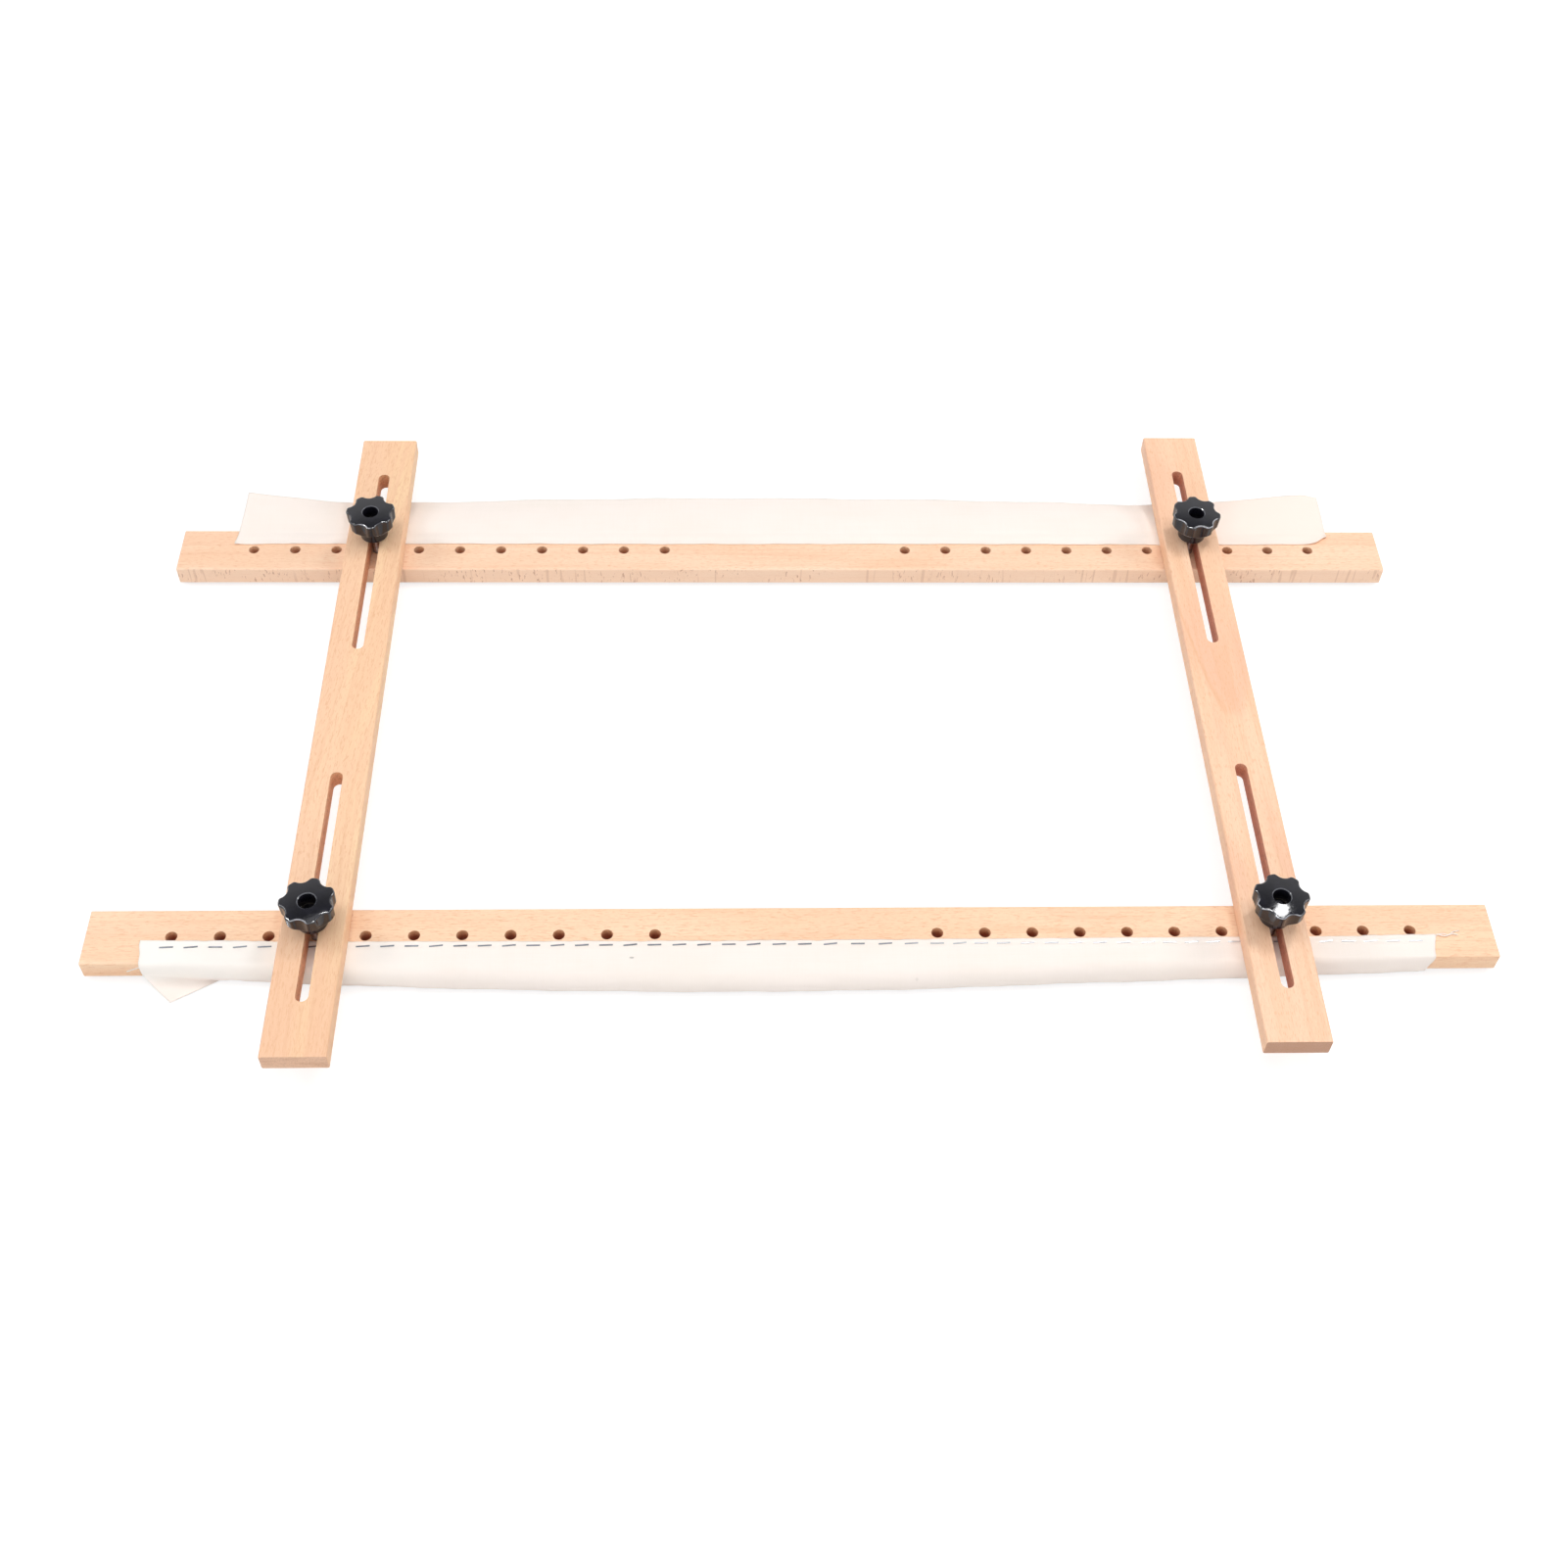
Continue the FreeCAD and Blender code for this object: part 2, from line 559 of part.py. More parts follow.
def front_path(place_share):
    """The front strip's middle line past the rail's edge: out, down and back under."""
    edge = size("rail_width / 2")
    top = size(f"{RAIL_TOP} + cloth_thickness / 2")
    floor = size("cloth_floor_clearance + cloth_thickness / 2")
    for share, rows in FLAP_SHARES:
        if share == place_share:
            reach = size("front_flap_reach")
            return [(edge, top)] + [(edge + out * reach, floor + up * (top - floor)) for out, up in rows]
    bulge_share = 1 - (1 - size("front_bulge_end_share")) * place_share ** 2
    belly = edge + size("front_bulge") * bulge_share
    fold = size("front_fold_radius")
    widest = floor + size("front_fold_height")
    reach, drop = belly - edge, top - widest
    turn = belly - fold
    return [
        (edge, top),
        (edge + QUARTER_SHARE * reach, widest + QUARTER_SHARE * drop),
        (belly, widest),
        (turn + QUARTER_SHARE * fold, widest - QUARTER_SHARE * (widest - floor)),
        (turn, floor),
        (size("rail_width / 2 - front_tuck_inset"), floor),
    ]


def make_front_strip():
    """Canvas along the front rail: stapled on top, over the front edge and tucked under."""
    base = hem_corners(FRONT_SEAM, "front_hem_width", size(RAIL_TOP))
    half = size(f"{CLOTH_LENGTH} / 2")
    row = size(FRONT_ROW)
    places = [share for share, rows in FLAP_SHARES] + BELLY_SHARES
    wires = [
        band_outline(share * half, row, -1, base, front_path(share), "AAL") for share in places
    ]
    return add_shape("front_cloth_strip", Part.makeLoft(wires, True, True))


def back_path(droop):
    """The back strip's middle line past the rail's edge, sagging towards its free edge."""
    edge = size("rail_width / 2")
    top = size(f"{RAIL_TOP} + cloth_thickness / 2")
    free = size("cloth_width - back_hem_width - back_seam_inset")
    sag = size("back_droop") * droop
    reach = math.sqrt(free ** 2 - sag ** 2)
    return [
        (edge, top),
        (edge + reach / 2, top - DROOP_MIDDLE_SHARE * sag),
        (edge + reach, top - sag),
    ]


def make_back_strip():
    """Canvas along the back rail: folded over its staples and sticking out behind."""
    base = hem_corners(BACK_SEAM, "back_hem_width", size(RAIL_TOP))
    half = size(f"{CLOTH_LENGTH} / 2")
    row = size(BACK_ROW)
    wires = [
        band_outline(share * half, row, 1, base, back_path(droop), "A") for share, droop in DROOP_SHARES
    ]
    return add_shape("back_cloth_strip", Part.makeLoft(wires, True, True))


def staple_solid():
    """One staple, its crown's top centre at the origin."""
    half, leg = size("staple_crown / 2"), size("staple_leg")
    width, thick = size("staple_wire_width"), size("staple_wire_thickness")
    outline = [
        (-half, 0), (half, 0), (half, -leg), (half - thick, -leg),
        (half - thick, -thick), (thick - half, -thick), (thick - half, -leg), (-half, -leg),
    ]
    corners = [FreeCAD.Vector(across, -width / 2, up) for across, up in outline]
    face = Part.Face(Part.makePolygon(corners + corners[:1]))
    return face.extrude(FreeCAD.Vector(0, width, 0))


def drift_share(place_share):
    """How far a staple strays at a place along its row, on straight lines through the table."""
    for (start, low), (end, high) in zip(STAPLE_DRIFT_SHARES, STAPLE_DRIFT_SHARES[1:]):
        if place_share <= end:
            return low + (high - low) * (place_share - start) / (end - start)
    return STAPLE_DRIFT_SHARES[-1][1]


def make_staples(name, row, towards, seam, layers):
    """A row of separate staples that hold a strip to its rail, each a little askew."""
    count = int(size("staple_count"))
    first = size(f"staple_end_margin - {CLOTH_LENGTH} / 2")
    step = size(f"({CLOTH_LENGTH} - 2 * staple_end_margin) / (staple_count - 1)")
    line = size(row) + towards * size(f"{seam} + staple_seam_inset")
    top = size(f"{RAIL_TOP} + {layers} * cloth_thickness + staple_proud")
    staples = []
    for number in range(count):
        staple = staple_solid()
        tilt = size("staple_lean") + size("staple_tilt") * math.sin(number * STAPLE_WANDER_SHARE)
        turn = FreeCAD.Rotation(FreeCAD.Vector(0, 0, 1), tilt)
        along = first + step * (number + drift_share(number / (count - 1)))
        staple.Placement = FreeCAD.Placement(FreeCAD.Vector(along, line, top), turn)
        staples.append(staple)
    return add_shape(name, Part.makeCompound(staples))


def add_shape(name, shape):
    feature = document.addObject("Part::Feature", name)
    feature.Label = name
    feature.Shape = shape
    return feature


def check_and_export(pieces):
    document.recompute()
    for feature in document.Objects:
        if "Invalid" in feature.State or "Error" in feature.State:
            raise RuntimeError(f"{feature.Name} is {feature.State}")
    for piece in pieces:
        if piece.Shape.isNull() or not piece.Shape.isValid() or not piece.Shape.Solids:
            raise RuntimeError(f"{piece.Label} has no valid solid")
    os.makedirs("parts", exist_ok=True)
    for piece in pieces:
        piece.Shape.exportStep(f"parts/{piece.Label}.step")
        box = piece.Shape.BoundBox
        print(f"{piece.Label}: {len(piece.Shape.Solids)} solids, {piece.Shape.Volume:.1f} mm3, "
              f"x {box.XMin:.2f} {box.XMax:.2f}, y {box.YMin:.2f} {box.YMax:.2f}, "
              f"z {box.ZMin:.2f} {box.ZMax:.2f}")


def make_frame():
    fill_sheet()
    pieces = [
        make_rail("front_rail", FRONT_ROW),
        make_rail("back_rail", BACK_ROW),
        make_side_bar("left_side_bar", "-1"),
        make_side_bar("right_side_bar", "1"),
    ]
    for end, row in (("front", FRONT_ROW), ("back", BACK_ROW)):
        for hand, side in (("left", "-1"), ("right", "1")):
            corner = f"{end}_{hand}"
            pieces.append(make_bolt(f"{corner}_bolt", side, row))
            pieces.append(make_bush(f"{corner}_knob_bush", side, row))
            pieces.append(make_knob(f"{corner}_knob", side, row, f"{corner}_knob_angle"))
    pieces.append(make_front_strip())
    pieces.append(make_back_strip())
    pieces.append(make_staples("front_staples", FRONT_ROW, -1, FRONT_SEAM, 2))
    pieces.append(make_staples("back_staples", BACK_ROW, 1, BACK_SEAM, 1))
    check_and_export(pieces)


make_frame()
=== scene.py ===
import math

import bpy
import numpy as np
from mathutils import Matrix, Vector


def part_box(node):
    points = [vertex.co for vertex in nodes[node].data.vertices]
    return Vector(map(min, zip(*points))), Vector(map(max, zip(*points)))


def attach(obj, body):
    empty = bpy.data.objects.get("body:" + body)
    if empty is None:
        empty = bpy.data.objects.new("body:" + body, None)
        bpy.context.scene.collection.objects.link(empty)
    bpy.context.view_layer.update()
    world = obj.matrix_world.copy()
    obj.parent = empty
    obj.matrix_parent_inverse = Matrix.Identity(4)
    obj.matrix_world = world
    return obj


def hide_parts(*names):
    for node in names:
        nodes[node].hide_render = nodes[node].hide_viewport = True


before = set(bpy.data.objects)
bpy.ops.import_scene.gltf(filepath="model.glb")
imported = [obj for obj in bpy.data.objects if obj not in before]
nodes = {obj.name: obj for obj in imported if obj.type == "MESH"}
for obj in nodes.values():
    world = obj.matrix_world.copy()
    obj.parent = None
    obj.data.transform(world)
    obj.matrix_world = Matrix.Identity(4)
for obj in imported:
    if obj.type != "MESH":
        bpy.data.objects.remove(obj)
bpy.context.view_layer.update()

# Lengths in the tables below are in millimetres and become metres when a piece is built.
MM = 0.001
PHOTO_SIDE = 1601
CLOTH_THICKNESS = 0.4
STRIP_LENGTH = 686
STRIP_WIDTH = 52
FLOOR_GAP = 0.5


def centre(node):
    """The middle of a CAD node's box, in millimetres."""
    low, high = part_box(node)
    return [(low[axis] + high[axis]) / 2 / MM for axis in range(3)]


FRONT_ROW = centre("front_rail")[1]
BACK_ROW = centre("back_rail")[1]
RAIL_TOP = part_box("front_rail")[1][2] / MM
RAIL_HALF = (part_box("front_rail")[1][1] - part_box("front_rail")[0][1]) / 2 / MM


def smooth(value):
    """0 below 0, 1 above 1, and an even turn between."""
    value = min(max(value, 0.0), 1.0)
    return value * value * (3 - 2 * value)


def mix(a, b, share):
    return a + (b - a) * share


def along_table(rows, place):
    """The value of a table at a place, on a smooth curve through its rows."""
    if place <= rows[0][0]:
        return rows[0][1]
    if place >= rows[-1][0]:
        return rows[-1][1]
    for index in range(len(rows) - 1):
        if rows[index][0] <= place <= rows[index + 1][0]:
            break
    before = rows[max(index - 1, 0)]
    start, end = rows[index], rows[index + 1]
    after = rows[min(index + 2, len(rows) - 1)]
    width = end[0] - start[0]
    slope_in = (end[1] - before[1]) / (end[0] - before[0])
    slope_out = (after[1] - start[1]) / (after[0] - start[0])
    t = (place - start[0]) / width
    return (
        (2 * t ** 3 - 3 * t ** 2 + 1) * start[1]
        + (t ** 3 - 2 * t ** 2 + t) * width * slope_in
        + (3 * t ** 2 - 2 * t ** 3) * end[1]
        + (t ** 3 - t ** 2) * width * slope_out
    )


def wave(place, period, phase):
    return math.sin(2 * math.pi * (place / period + phase))


class Graph:
    """A material under construction, with short calls for its nodes."""

    def __init__(self, name):
        self.material = bpy.data.materials.new(name)
        self.material.use_nodes = True
        self.tree = self.material.node_tree
        self.shader = next(n for n in self.tree.nodes if n.type == "BSDF_PRINCIPLED")
        self.output = next(n for n in self.tree.nodes if n.type == "OUTPUT_MATERIAL")

    def plug(self, socket, value):
        if isinstance(value, bpy.types.NodeSocket):
            self.tree.links.new(value, socket)
        elif value is not None:
            socket.default_value = value

    def node(self, kind, settings=None, **inputs):
        made = self.tree.nodes.new(kind)
        for key, value in (settings or {}).items():
            setattr(made, key, value)
        for key, value in inputs.items():
            self.plug(made.inputs[key.replace("_", " ")], value)
        return made

    def places(self, middle=(0.0, 0.0), turned=False):
        """Distances along, across and up in millimetres, from a middle given as (x, y)."""
        turn = math.pi / 2 if turned else 0.0
        shift = (middle[1], -middle[0], 0) if turned else (-middle[0], -middle[1], 0)
        mapped = self.node(
            "ShaderNodeMapping", Vector=self.node("ShaderNodeTexCoord").outputs["Object"],
            Scale=(1 / MM, 1 / MM, 1 / MM), Rotation=(0, 0, turn), Location=shift,
        ).outputs["Vector"]
        return self.node("ShaderNodeSeparateXYZ", Vector=mapped).outputs

    def join(self, x, y, z):
        return self.node("ShaderNodeCombineXYZ", X=x, Y=y, Z=z).outputs["Vector"]

    def noise(self, vector, rates, seed=0.0, detail=2.0, roughness=0.5, distortion=0.0):
        """Noise from 0 to 1, with its turns per unit of length along each axis."""
        moved = self.node(
            "ShaderNodeMapping", Vector=vector, Scale=rates, Location=(seed, seed * 1.7, seed * 0.6),
        )
        return self.node(
            "ShaderNodeTexNoise", Vector=moved.outputs["Vector"], Scale=1.0, Detail=detail,
            Roughness=roughness, Distortion=distortion,
        ).outputs["Fac"]

    def span(self, value, low, high, to_low=0.0, to_high=1.0):
        made = self.node("ShaderNodeMapRange", {"interpolation_type": "SMOOTHSTEP"}, Value=value)
        for name, number in (("From Min", low), ("From Max", high), ("To Min", to_low), ("To Max", to_high)):
            made.inputs[name].default_value = number
        return made.outputs["Result"]

    def math(self, operation, a, b=None):
        made = self.tree.nodes.new("ShaderNodeMath")
        made.operation = operation
        self.plug(made.inputs[0], a)
        self.plug(made.inputs[1], b)
        return made.outputs[0]

    def times(self, *values):
        product = values[0]
        for value in values[1:]:
            product = self.math("MULTIPLY", product, value)
        return product

    def blend(self, share, a, b):
        made = self.tree.nodes.new("ShaderNodeMix")
        made.data_type = "RGBA"
        for index, value in ((0, share), (6, a), (7, b)):
            self.plug(made.inputs[index], value)
        return made.outputs[2]

    def facing(self, axis):
        """How squarely a face looks along an axis of its own object, from 0 to 1."""
        normal = self.node("ShaderNodeTexCoord").outputs["Normal"]
        parts = self.node("ShaderNodeSeparateXYZ", Vector=normal)
        return self.math("ABSOLUTE", parts.outputs[axis])

    def mark(self, along, across, place, reach):
        """1 inside an oval spot and 0 outside it, in millimetres."""
        squares = []
        for value, middle, half in ((along, place[0], reach[0]), (across, place[1], reach[1])):
            off = self.math("DIVIDE", self.math("SUBTRACT", value, middle), half)
            squares.append(self.math("MULTIPLY", off, off))
        return self.span(self.math("ADD", *squares), 1.2, 0.3)

    def bump(self, height, strength, distance):
        made = self.node("ShaderNodeBump", Height=height, Strength=strength, Distance=distance)
        return made.outputs["Normal"]


def linear(red, green, blue):
    """A colour as seen on a screen, 0 to 255, as the linear colour that nodes take."""
    parts = []
    for part in (red, green, blue):
        part = part / 255
        parts.append(part / 12.92 if part <= 0.04045 else ((part + 0.055) / 1.055) ** 2.4)
    return (*parts, 1.0)


# A little more than half the width of the holes and slots, and how far their rows reach
# from the middle.
HOLE_REACH = 3.9
ROW_REACH = {"rail": 330, "bar": 205}

# In metres: how deep the reliefs are, and how far apart the canvas's threads lie.
WOOD_RELIEF = 0.00012
CANVAS_RELIEF = 0.0001
METAL_RELIEF = 0.0003
CANVAS_THREAD_PITCH = 0.00052


def add_tongue(g, body, along, across, colours):
    """The tongue-shaped growth figure in the middle of the right side bar."""
    off = g.math("SUBTRACT", across, 3.5)
    square = g.math("MULTIPLY", off, off)
    behind = g.math("SUBTRACT", 16.0, along)
    outer = g.math("SUBTRACT", square, g.times(behind, 4.6))
    nearby = g.math("MULTIPLY", g.math("SUBTRACT", across, 2.0), off)
    inner = g.math("SUBTRACT", nearby, g.times(behind, 0.5))
    fade = g.times(g.span(along, -110, -50), g.span(along, 16, 6))
    body = g.blend(g.times(g.span(outer, 25, -70), fade, 0.55), body, colours["pink"])
    one_side = g.span(across, 4.0, -4.0)
    edge = g.times(g.span(outer, -70, -10), g.span(outer, 25, -10), one_side, fade, 0.5)
    body = g.blend(edge, body, colours["dark"])
    core = g.times(g.span(inner, 6, -6), g.span(along, -60, -30), g.span(along, 12, 2), 0.3)
    return g.blend(core, body, colours["dark"])


def add_side_flecks(g, body, spot, sides, seed, flecks, colours):
    """Lighter sides with short upright flecks in clusters and a few streaks."""
    upright = g.noise(spot, (1.0, 1.0, 0.22), seed + 4, 1.0, 0.5, 0.6)
    clusters = g.noise(spot, (0.03, 0.03, 0.03), seed + 5, 1.0, 0.5)
    streaks = g.noise(spot, (0.35, 0.0, 0.02), seed + 8, 1.0, 0.5)
    short = g.times(g.span(upright, 0.63, 0.71), g.span(clusters, 0.42, 0.6))
    long = g.times(g.span(streaks, 0.64, 0.7), 0.4)
    spots = g.times(g.math("MAXIMUM", short, long), sides, flecks)
    side_colour = g.blend(g.times(sides, colours.get("side_share", 0.0)), body, colours["side"])
    return g.blend(spots, side_colour, linear(184, 128, 96))


def add_end_grain(g, body, spot, across, up, ends, seed, colours):
    """Sawn ends with pores and the arcs of the growth rings."""
    pores = g.noise(spot, (1.5, 1.5, 1.5), seed + 6, 1.0, 0.5)
    arcs = g.noise(g.join(0.0, across, up), (1.0, 0.07, 0.42), seed + 7, 2.0, 0.5, 0.5)
    grain = g.blend(g.times(g.span(pores, 0.45, 0.7), 0.35), colours["end"], linear(180, 132, 100))
    grain = g.blend(g.times(g.span(arcs, 0.45, 0.65), 0.3), grain, linear(192, 142, 110))
    return g.blend(ends, body, grain)


def make_wood(name, node, seed, colours, lean=0.0, flecks=0.1, two_tone=0.0, front_dark=0.0, tongue=False):
    """Beech: fine fibre, growth lines, short ray dashes, flecked sides and dark drilled walls with painted
    shade down the holes.
    """
    g = Graph(name)
    turned = node.endswith("bar")
    row_reach = ROW_REACH["bar" if turned else "rail"]
    low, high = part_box(node)
    x, y, _ = centre(node)
    top = high[2] / MM
    thickness = top - low[2] / MM
    along, across, up = g.places((x, y), turned)
    bent = g.math("ADD", across, g.times(g.math("MINIMUM", along, 60.0), lean))
    spot = g.join(along, bent, up)
    figure = g.noise(spot, (0.006, 0.085, 0.085), seed, 2.0, 0.5, 0.5)
    lines = g.noise(spot, (0.009, 0.45, 0.45), seed, 2.0, 0.55, 0.5)
    fibre = g.noise(spot, (0.09, 2.4, 2.4), seed, 2.0, 0.6)
    dashes = g.noise(spot, (0.24, 1.7, 1.7), seed, 1.0, 0.4)
    stipple = g.noise(spot, (0.5, 1.2, 1.2), seed, 1.0, 0.5)
    patches = g.noise(spot, (0.012, 0.05, 0.05), seed, 1.0, 0.5)
    body = g.blend(g.span(figure, 0.35, 0.65), colours["light"], colours["mid"])
    body = g.blend(g.times(g.span(patches, 0.48, 0.7), 0.6), body, colours["pink"])
    if two_tone:
        border = g.math("ADD", across, g.times(lines, 6.0))
        body = g.blend(g.times(g.span(border, 6.0, -3.0), two_tone), body, colours["pink"])
    if front_dark:
        body = g.blend(g.times(g.span(along, 100, 200), front_dark), body, colours["dark"])
    if tongue:
        body = add_tongue(g, body, along, across, colours)
    darker_marks = (
        (lines, 0.5, 0.68, 0.26), (fibre, 0.48, 0.75, 0.2),
        (dashes, 0.575, 0.66, 0.55), (stipple, 0.54, 0.68, 0.17),
    )
    for pattern, faint, full, share in darker_marks:
        body = g.blend(g.times(g.span(pattern, faint, full), share), body, colours["dark"])
    along_axis, side_axis = ("Y", "X") if turned else ("X", "Y")
    sides = g.span(g.facing(side_axis), 0.6, 0.9)
    body = add_side_flecks(g, body, spot, sides, seed, flecks, colours)
    ends = g.span(g.facing(along_axis), 0.6, 0.9)
    body = add_end_grain(g, body, spot, across, up, ends, seed, colours)
    # The drilled walls keep a redder tone of their own near the rim and take painted shade that darkens them
    # down the holes.
    inside = g.times(
        g.span(g.math("ABSOLUTE", across), HOLE_REACH + 0.3, HOLE_REACH),
        g.span(g.math("ABSOLUTE", along), row_reach + 12, row_reach),
        g.span(g.facing("Z"), 0.6, 0.3),
    )
    hole_shade_share = g.span(up, top, top - thickness * 0.6)
    wall = g.blend(hole_shade_share, colours["wall"], colours["deep"])
    wall = g.blend(g.times(g.span(stipple, 0.4, 0.7), 0.3), wall, linear(120, 70, 48))
    body = g.blend(inside, body, wall)
    g.plug(g.shader.inputs["Base Color"], body)
    g.plug(g.shader.inputs["Roughness"], g.span(fibre, 0.3, 0.8, 0.42, 0.58))
    g.shader.inputs["Specular IOR Level"].default_value = 0.35
    relief = g.math("ADD", g.times(fibre, 0.6), g.times(dashes, 0.3))
    g.plug(g.shader.inputs["Normal"], g.bump(relief, 0.2, WOOD_RELIEF))
    return g.material


# Each mark is its middle as (x, y), its reach each way, and how strongly it shows.
CANVAS_MARKS = [((-86.9, -165.1), (1.4, 0.6), 0.55), ((62.7, -176.6), (0.9, 0.7), 0.13)]


def make_canvas(name, tint):
    """Cotton canvas: a fine plain weave with uneven threads; painted shade where it turns under and at its
    far right end, painted light at its front left.
    """
    g = Graph(name)
    thread = 1 / CANVAS_THREAD_PITCH
    cloth_place = g.node("ShaderNodeTexCoord").outputs["UV"]
    bands = []
    for direction in ("X", "Y"):
        bands.append(g.node(
            "ShaderNodeTexWave", {"bands_direction": direction, "wave_profile": "SIN"},
            Vector=cloth_place, Scale=thread / math.pi, Distortion=0.0,
        ).outputs["Fac"])
    weave = g.math("MULTIPLY", *bands)
    slubs = g.math(
        "ADD", g.noise(cloth_place, (50, 1500, 1), 1.0), g.noise(cloth_place, (1500, 50, 1), 2.0),
    )
    cloudy = g.noise(cloth_place, (18, 40, 1), 3.0, 2.0)
    body = g.blend(g.span(cloudy, 0.35, 0.7), tint, linear(250, 240, 232))
    body = g.blend(g.times(g.span(slubs, 0.9, 1.3), 0.16), body, linear(243, 232, 220))
    body = g.blend(g.times(g.span(weave, 0.25, 0.0), 0.07), body, linear(222, 208, 192))
    along, across, up = g.places()
    in_front = g.span(across, BACK_ROW, BACK_ROW - 60)
    # Painted shade: the back strip's far right end is coloured darker.
    far_right_shade = g.times(g.span(along, 250, 300), g.span(across, BACK_ROW - 20, BACK_ROW))
    body = g.blend(g.times(far_right_shade, 0.85), body, linear(250, 235, 224))
    # Painted light: the front strip's left part, above its lowest few millimetres, is coloured lighter.
    far_left_light = g.times(g.span(along, -180, -240), in_front, g.span(up, 3.2, 6.5))
    body = g.blend(far_left_light, body, linear(255, 250, 244))
    for place, reach, share in CANVAS_MARKS:
        body = g.blend(g.times(g.mark(along, across, place, reach), share), body, linear(128, 126, 124))
    # Painted shade: the front strip is coloured darker towards the floor where it turns under, with a darker
    # line low down.
    turned_under_shade = g.times(g.span(along, -312, -296), in_front)
    body = g.blend(g.times(g.span(up, 7.5, 2.0), turned_under_shade, 0.3), body, linear(222, 210, 202))
    body = g.blend(g.times(g.span(up, 3.3, 2.3), turned_under_shade, 0.5), body, linear(190, 178, 178))
    g.plug(g.shader.inputs["Base Color"], body)
    g.plug(g.shader.inputs["Roughness"], g.span(cloudy, 0.2, 0.8, 0.86, 0.96))
    g.shader.inputs["Specular IOR Level"].default_value = 0.15
    g.shader.inputs["Sheen Weight"].default_value = 0.08
    g.shader.inputs["Sheen Roughness"].default_value = 0.5
    relief = g.math("ADD", weave, g.times(slubs, 0.5))
    g.plug(g.shader.inputs["Normal"], g.bump(relief, 0.3, CANVAS_RELIEF))
    return g.material


# The knobs' tops are shaded as if they dropped by this times the radius squared.
KNOB_CROWN = 0.0055


def make_knob_plastic(name, node):
    """Glossy black moulded plastic with a crowned top, faint flow marks and painted highlights on its edges.
    """
    g = Graph(name)
    x, y, _ = centre(node)
    along, across, up = g.places((x, y))
    spot = g.join(along, across, up)
    flow = g.noise(spot, (0.2, 0.2, 0.2), x, 2.0)
    grime = g.noise(spot, (0.9, 0.9, 0.9), y, 2.0)
    body = g.blend(g.span(flow, 0.4, 0.7), linear(20, 20, 27), linear(27, 27, 36))
    square = g.math("ADD", g.math("MULTIPLY", along, along), g.math("MULTIPLY", across, across))
    radius = g.math("POWER", square, 0.5)
    # Painted highlights: lighter lines along the lobes' rounded top edges, in patches and stronger to the
    # front, and a lighter ring round the hole stand in for glints.
    patches = g.noise(spot, (0.14, 0.14, 0.14), x * 0.37, 0.0)
    front_glint_patches = g.times(g.span(patches, 0.47, 0.58, 0.1, 1.0), g.span(across, 3, -4, 0.3, 1.0))
    level = g.facing("Z")
    rounded = g.span(level, 0.985, 0.9)
    outer_edge_glint = g.times(rounded, g.span(level, 0.3, 0.6), g.span(radius, 7, 8), front_glint_patches)
    hole_rim_glint = g.times(rounded, g.span(level, 0.2, 0.5), g.span(radius, 7, 6))
    body = g.blend(g.times(outer_edge_glint, 0.62), body, linear(206, 208, 216))
    body = g.blend(g.times(hole_rim_glint, 0.5), body, linear(120, 122, 130))
    g.plug(g.shader.inputs["Base Color"], body)
    g.plug(g.shader.inputs["Roughness"], g.span(grime, 0.3, 0.75, 0.07, 0.13))
    g.shader.inputs["Specular IOR Level"].default_value = 0.55
    height = g.math("ADD", g.times(square, -KNOB_CROWN), g.times(flow, 0.06))
    g.plug(g.shader.inputs["Normal"], g.bump(height, 1.0, MM))
    return g.material


def make_metal(name, light, dark, low, high, brushed, thread_pitch=0.0, change=None):
    """Metal with fine scratches, thread ridges where a pitch is given, and painted light along one axis
    where a change is given.
    """
    g = Graph(name)
    parts = g.places()
    spot = g.join(*parts[:3])
    scratches = g.noise(spot, brushed, 1.0, 2.0, 0.6)
    stains = g.noise(spot, (0.3, 0.3, 0.3), 2.0, 2.0)
    body = g.blend(g.span(stains, 0.35, 0.7), light, dark)
    # A given change paints light in: a colour that shifts along one axis, painted shade on the bolts' tops
    # and a painted reflection on the staples.
    if change:
        axis, start, end, other = change
        body = g.blend(g.span(parts[axis], start, end), body, other)
    g.plug(g.shader.inputs["Base Color"], body)
    g.plug(g.shader.inputs["Roughness"], g.span(scratches, 0.3, 0.75, low, high))
    g.shader.inputs["Metallic"].default_value = 1.0
    relief = g.times(scratches, 0.2)
    if thread_pitch:
        ridges = g.node(
            "ShaderNodeTexWave", {"bands_direction": "Z", "wave_profile": "TRI"},
            Vector=spot, Scale=math.pi / 10 / thread_pitch, Distortion=0.0,
        ).outputs["Fac"]
        relief = g.math("ADD", relief, g.times(ridges, g.span(g.facing("Z"), 0.3, 0.1)))
    g.plug(g.shader.inputs["Normal"], g.bump(relief, 0.5, METAL_RELIEF))
    return g.material


def dress(node, material):
    """Every face of a CAD node takes one material."""
    mesh = nodes[node].data
    mesh.materials.clear()
    mesh.materials.append(material)


def beech(**changes):
    """The colours of one piece of beech, as seen on a screen."""
    colours = {
        "light": linear(252, 216, 182), "mid": linear(250, 209, 173), "dark": linear(232, 176, 134),
        "pink": linear(248, 204, 170), "side": linear(240, 206, 176), "end": linear(220, 180, 152),
        # The drilled walls' colour near the rim, then the painted shade further down the holes.
        "wall": linear(244, 196, 156), "deep": linear(196, 116, 82),
    }
    colours.update(changes)
    return colours


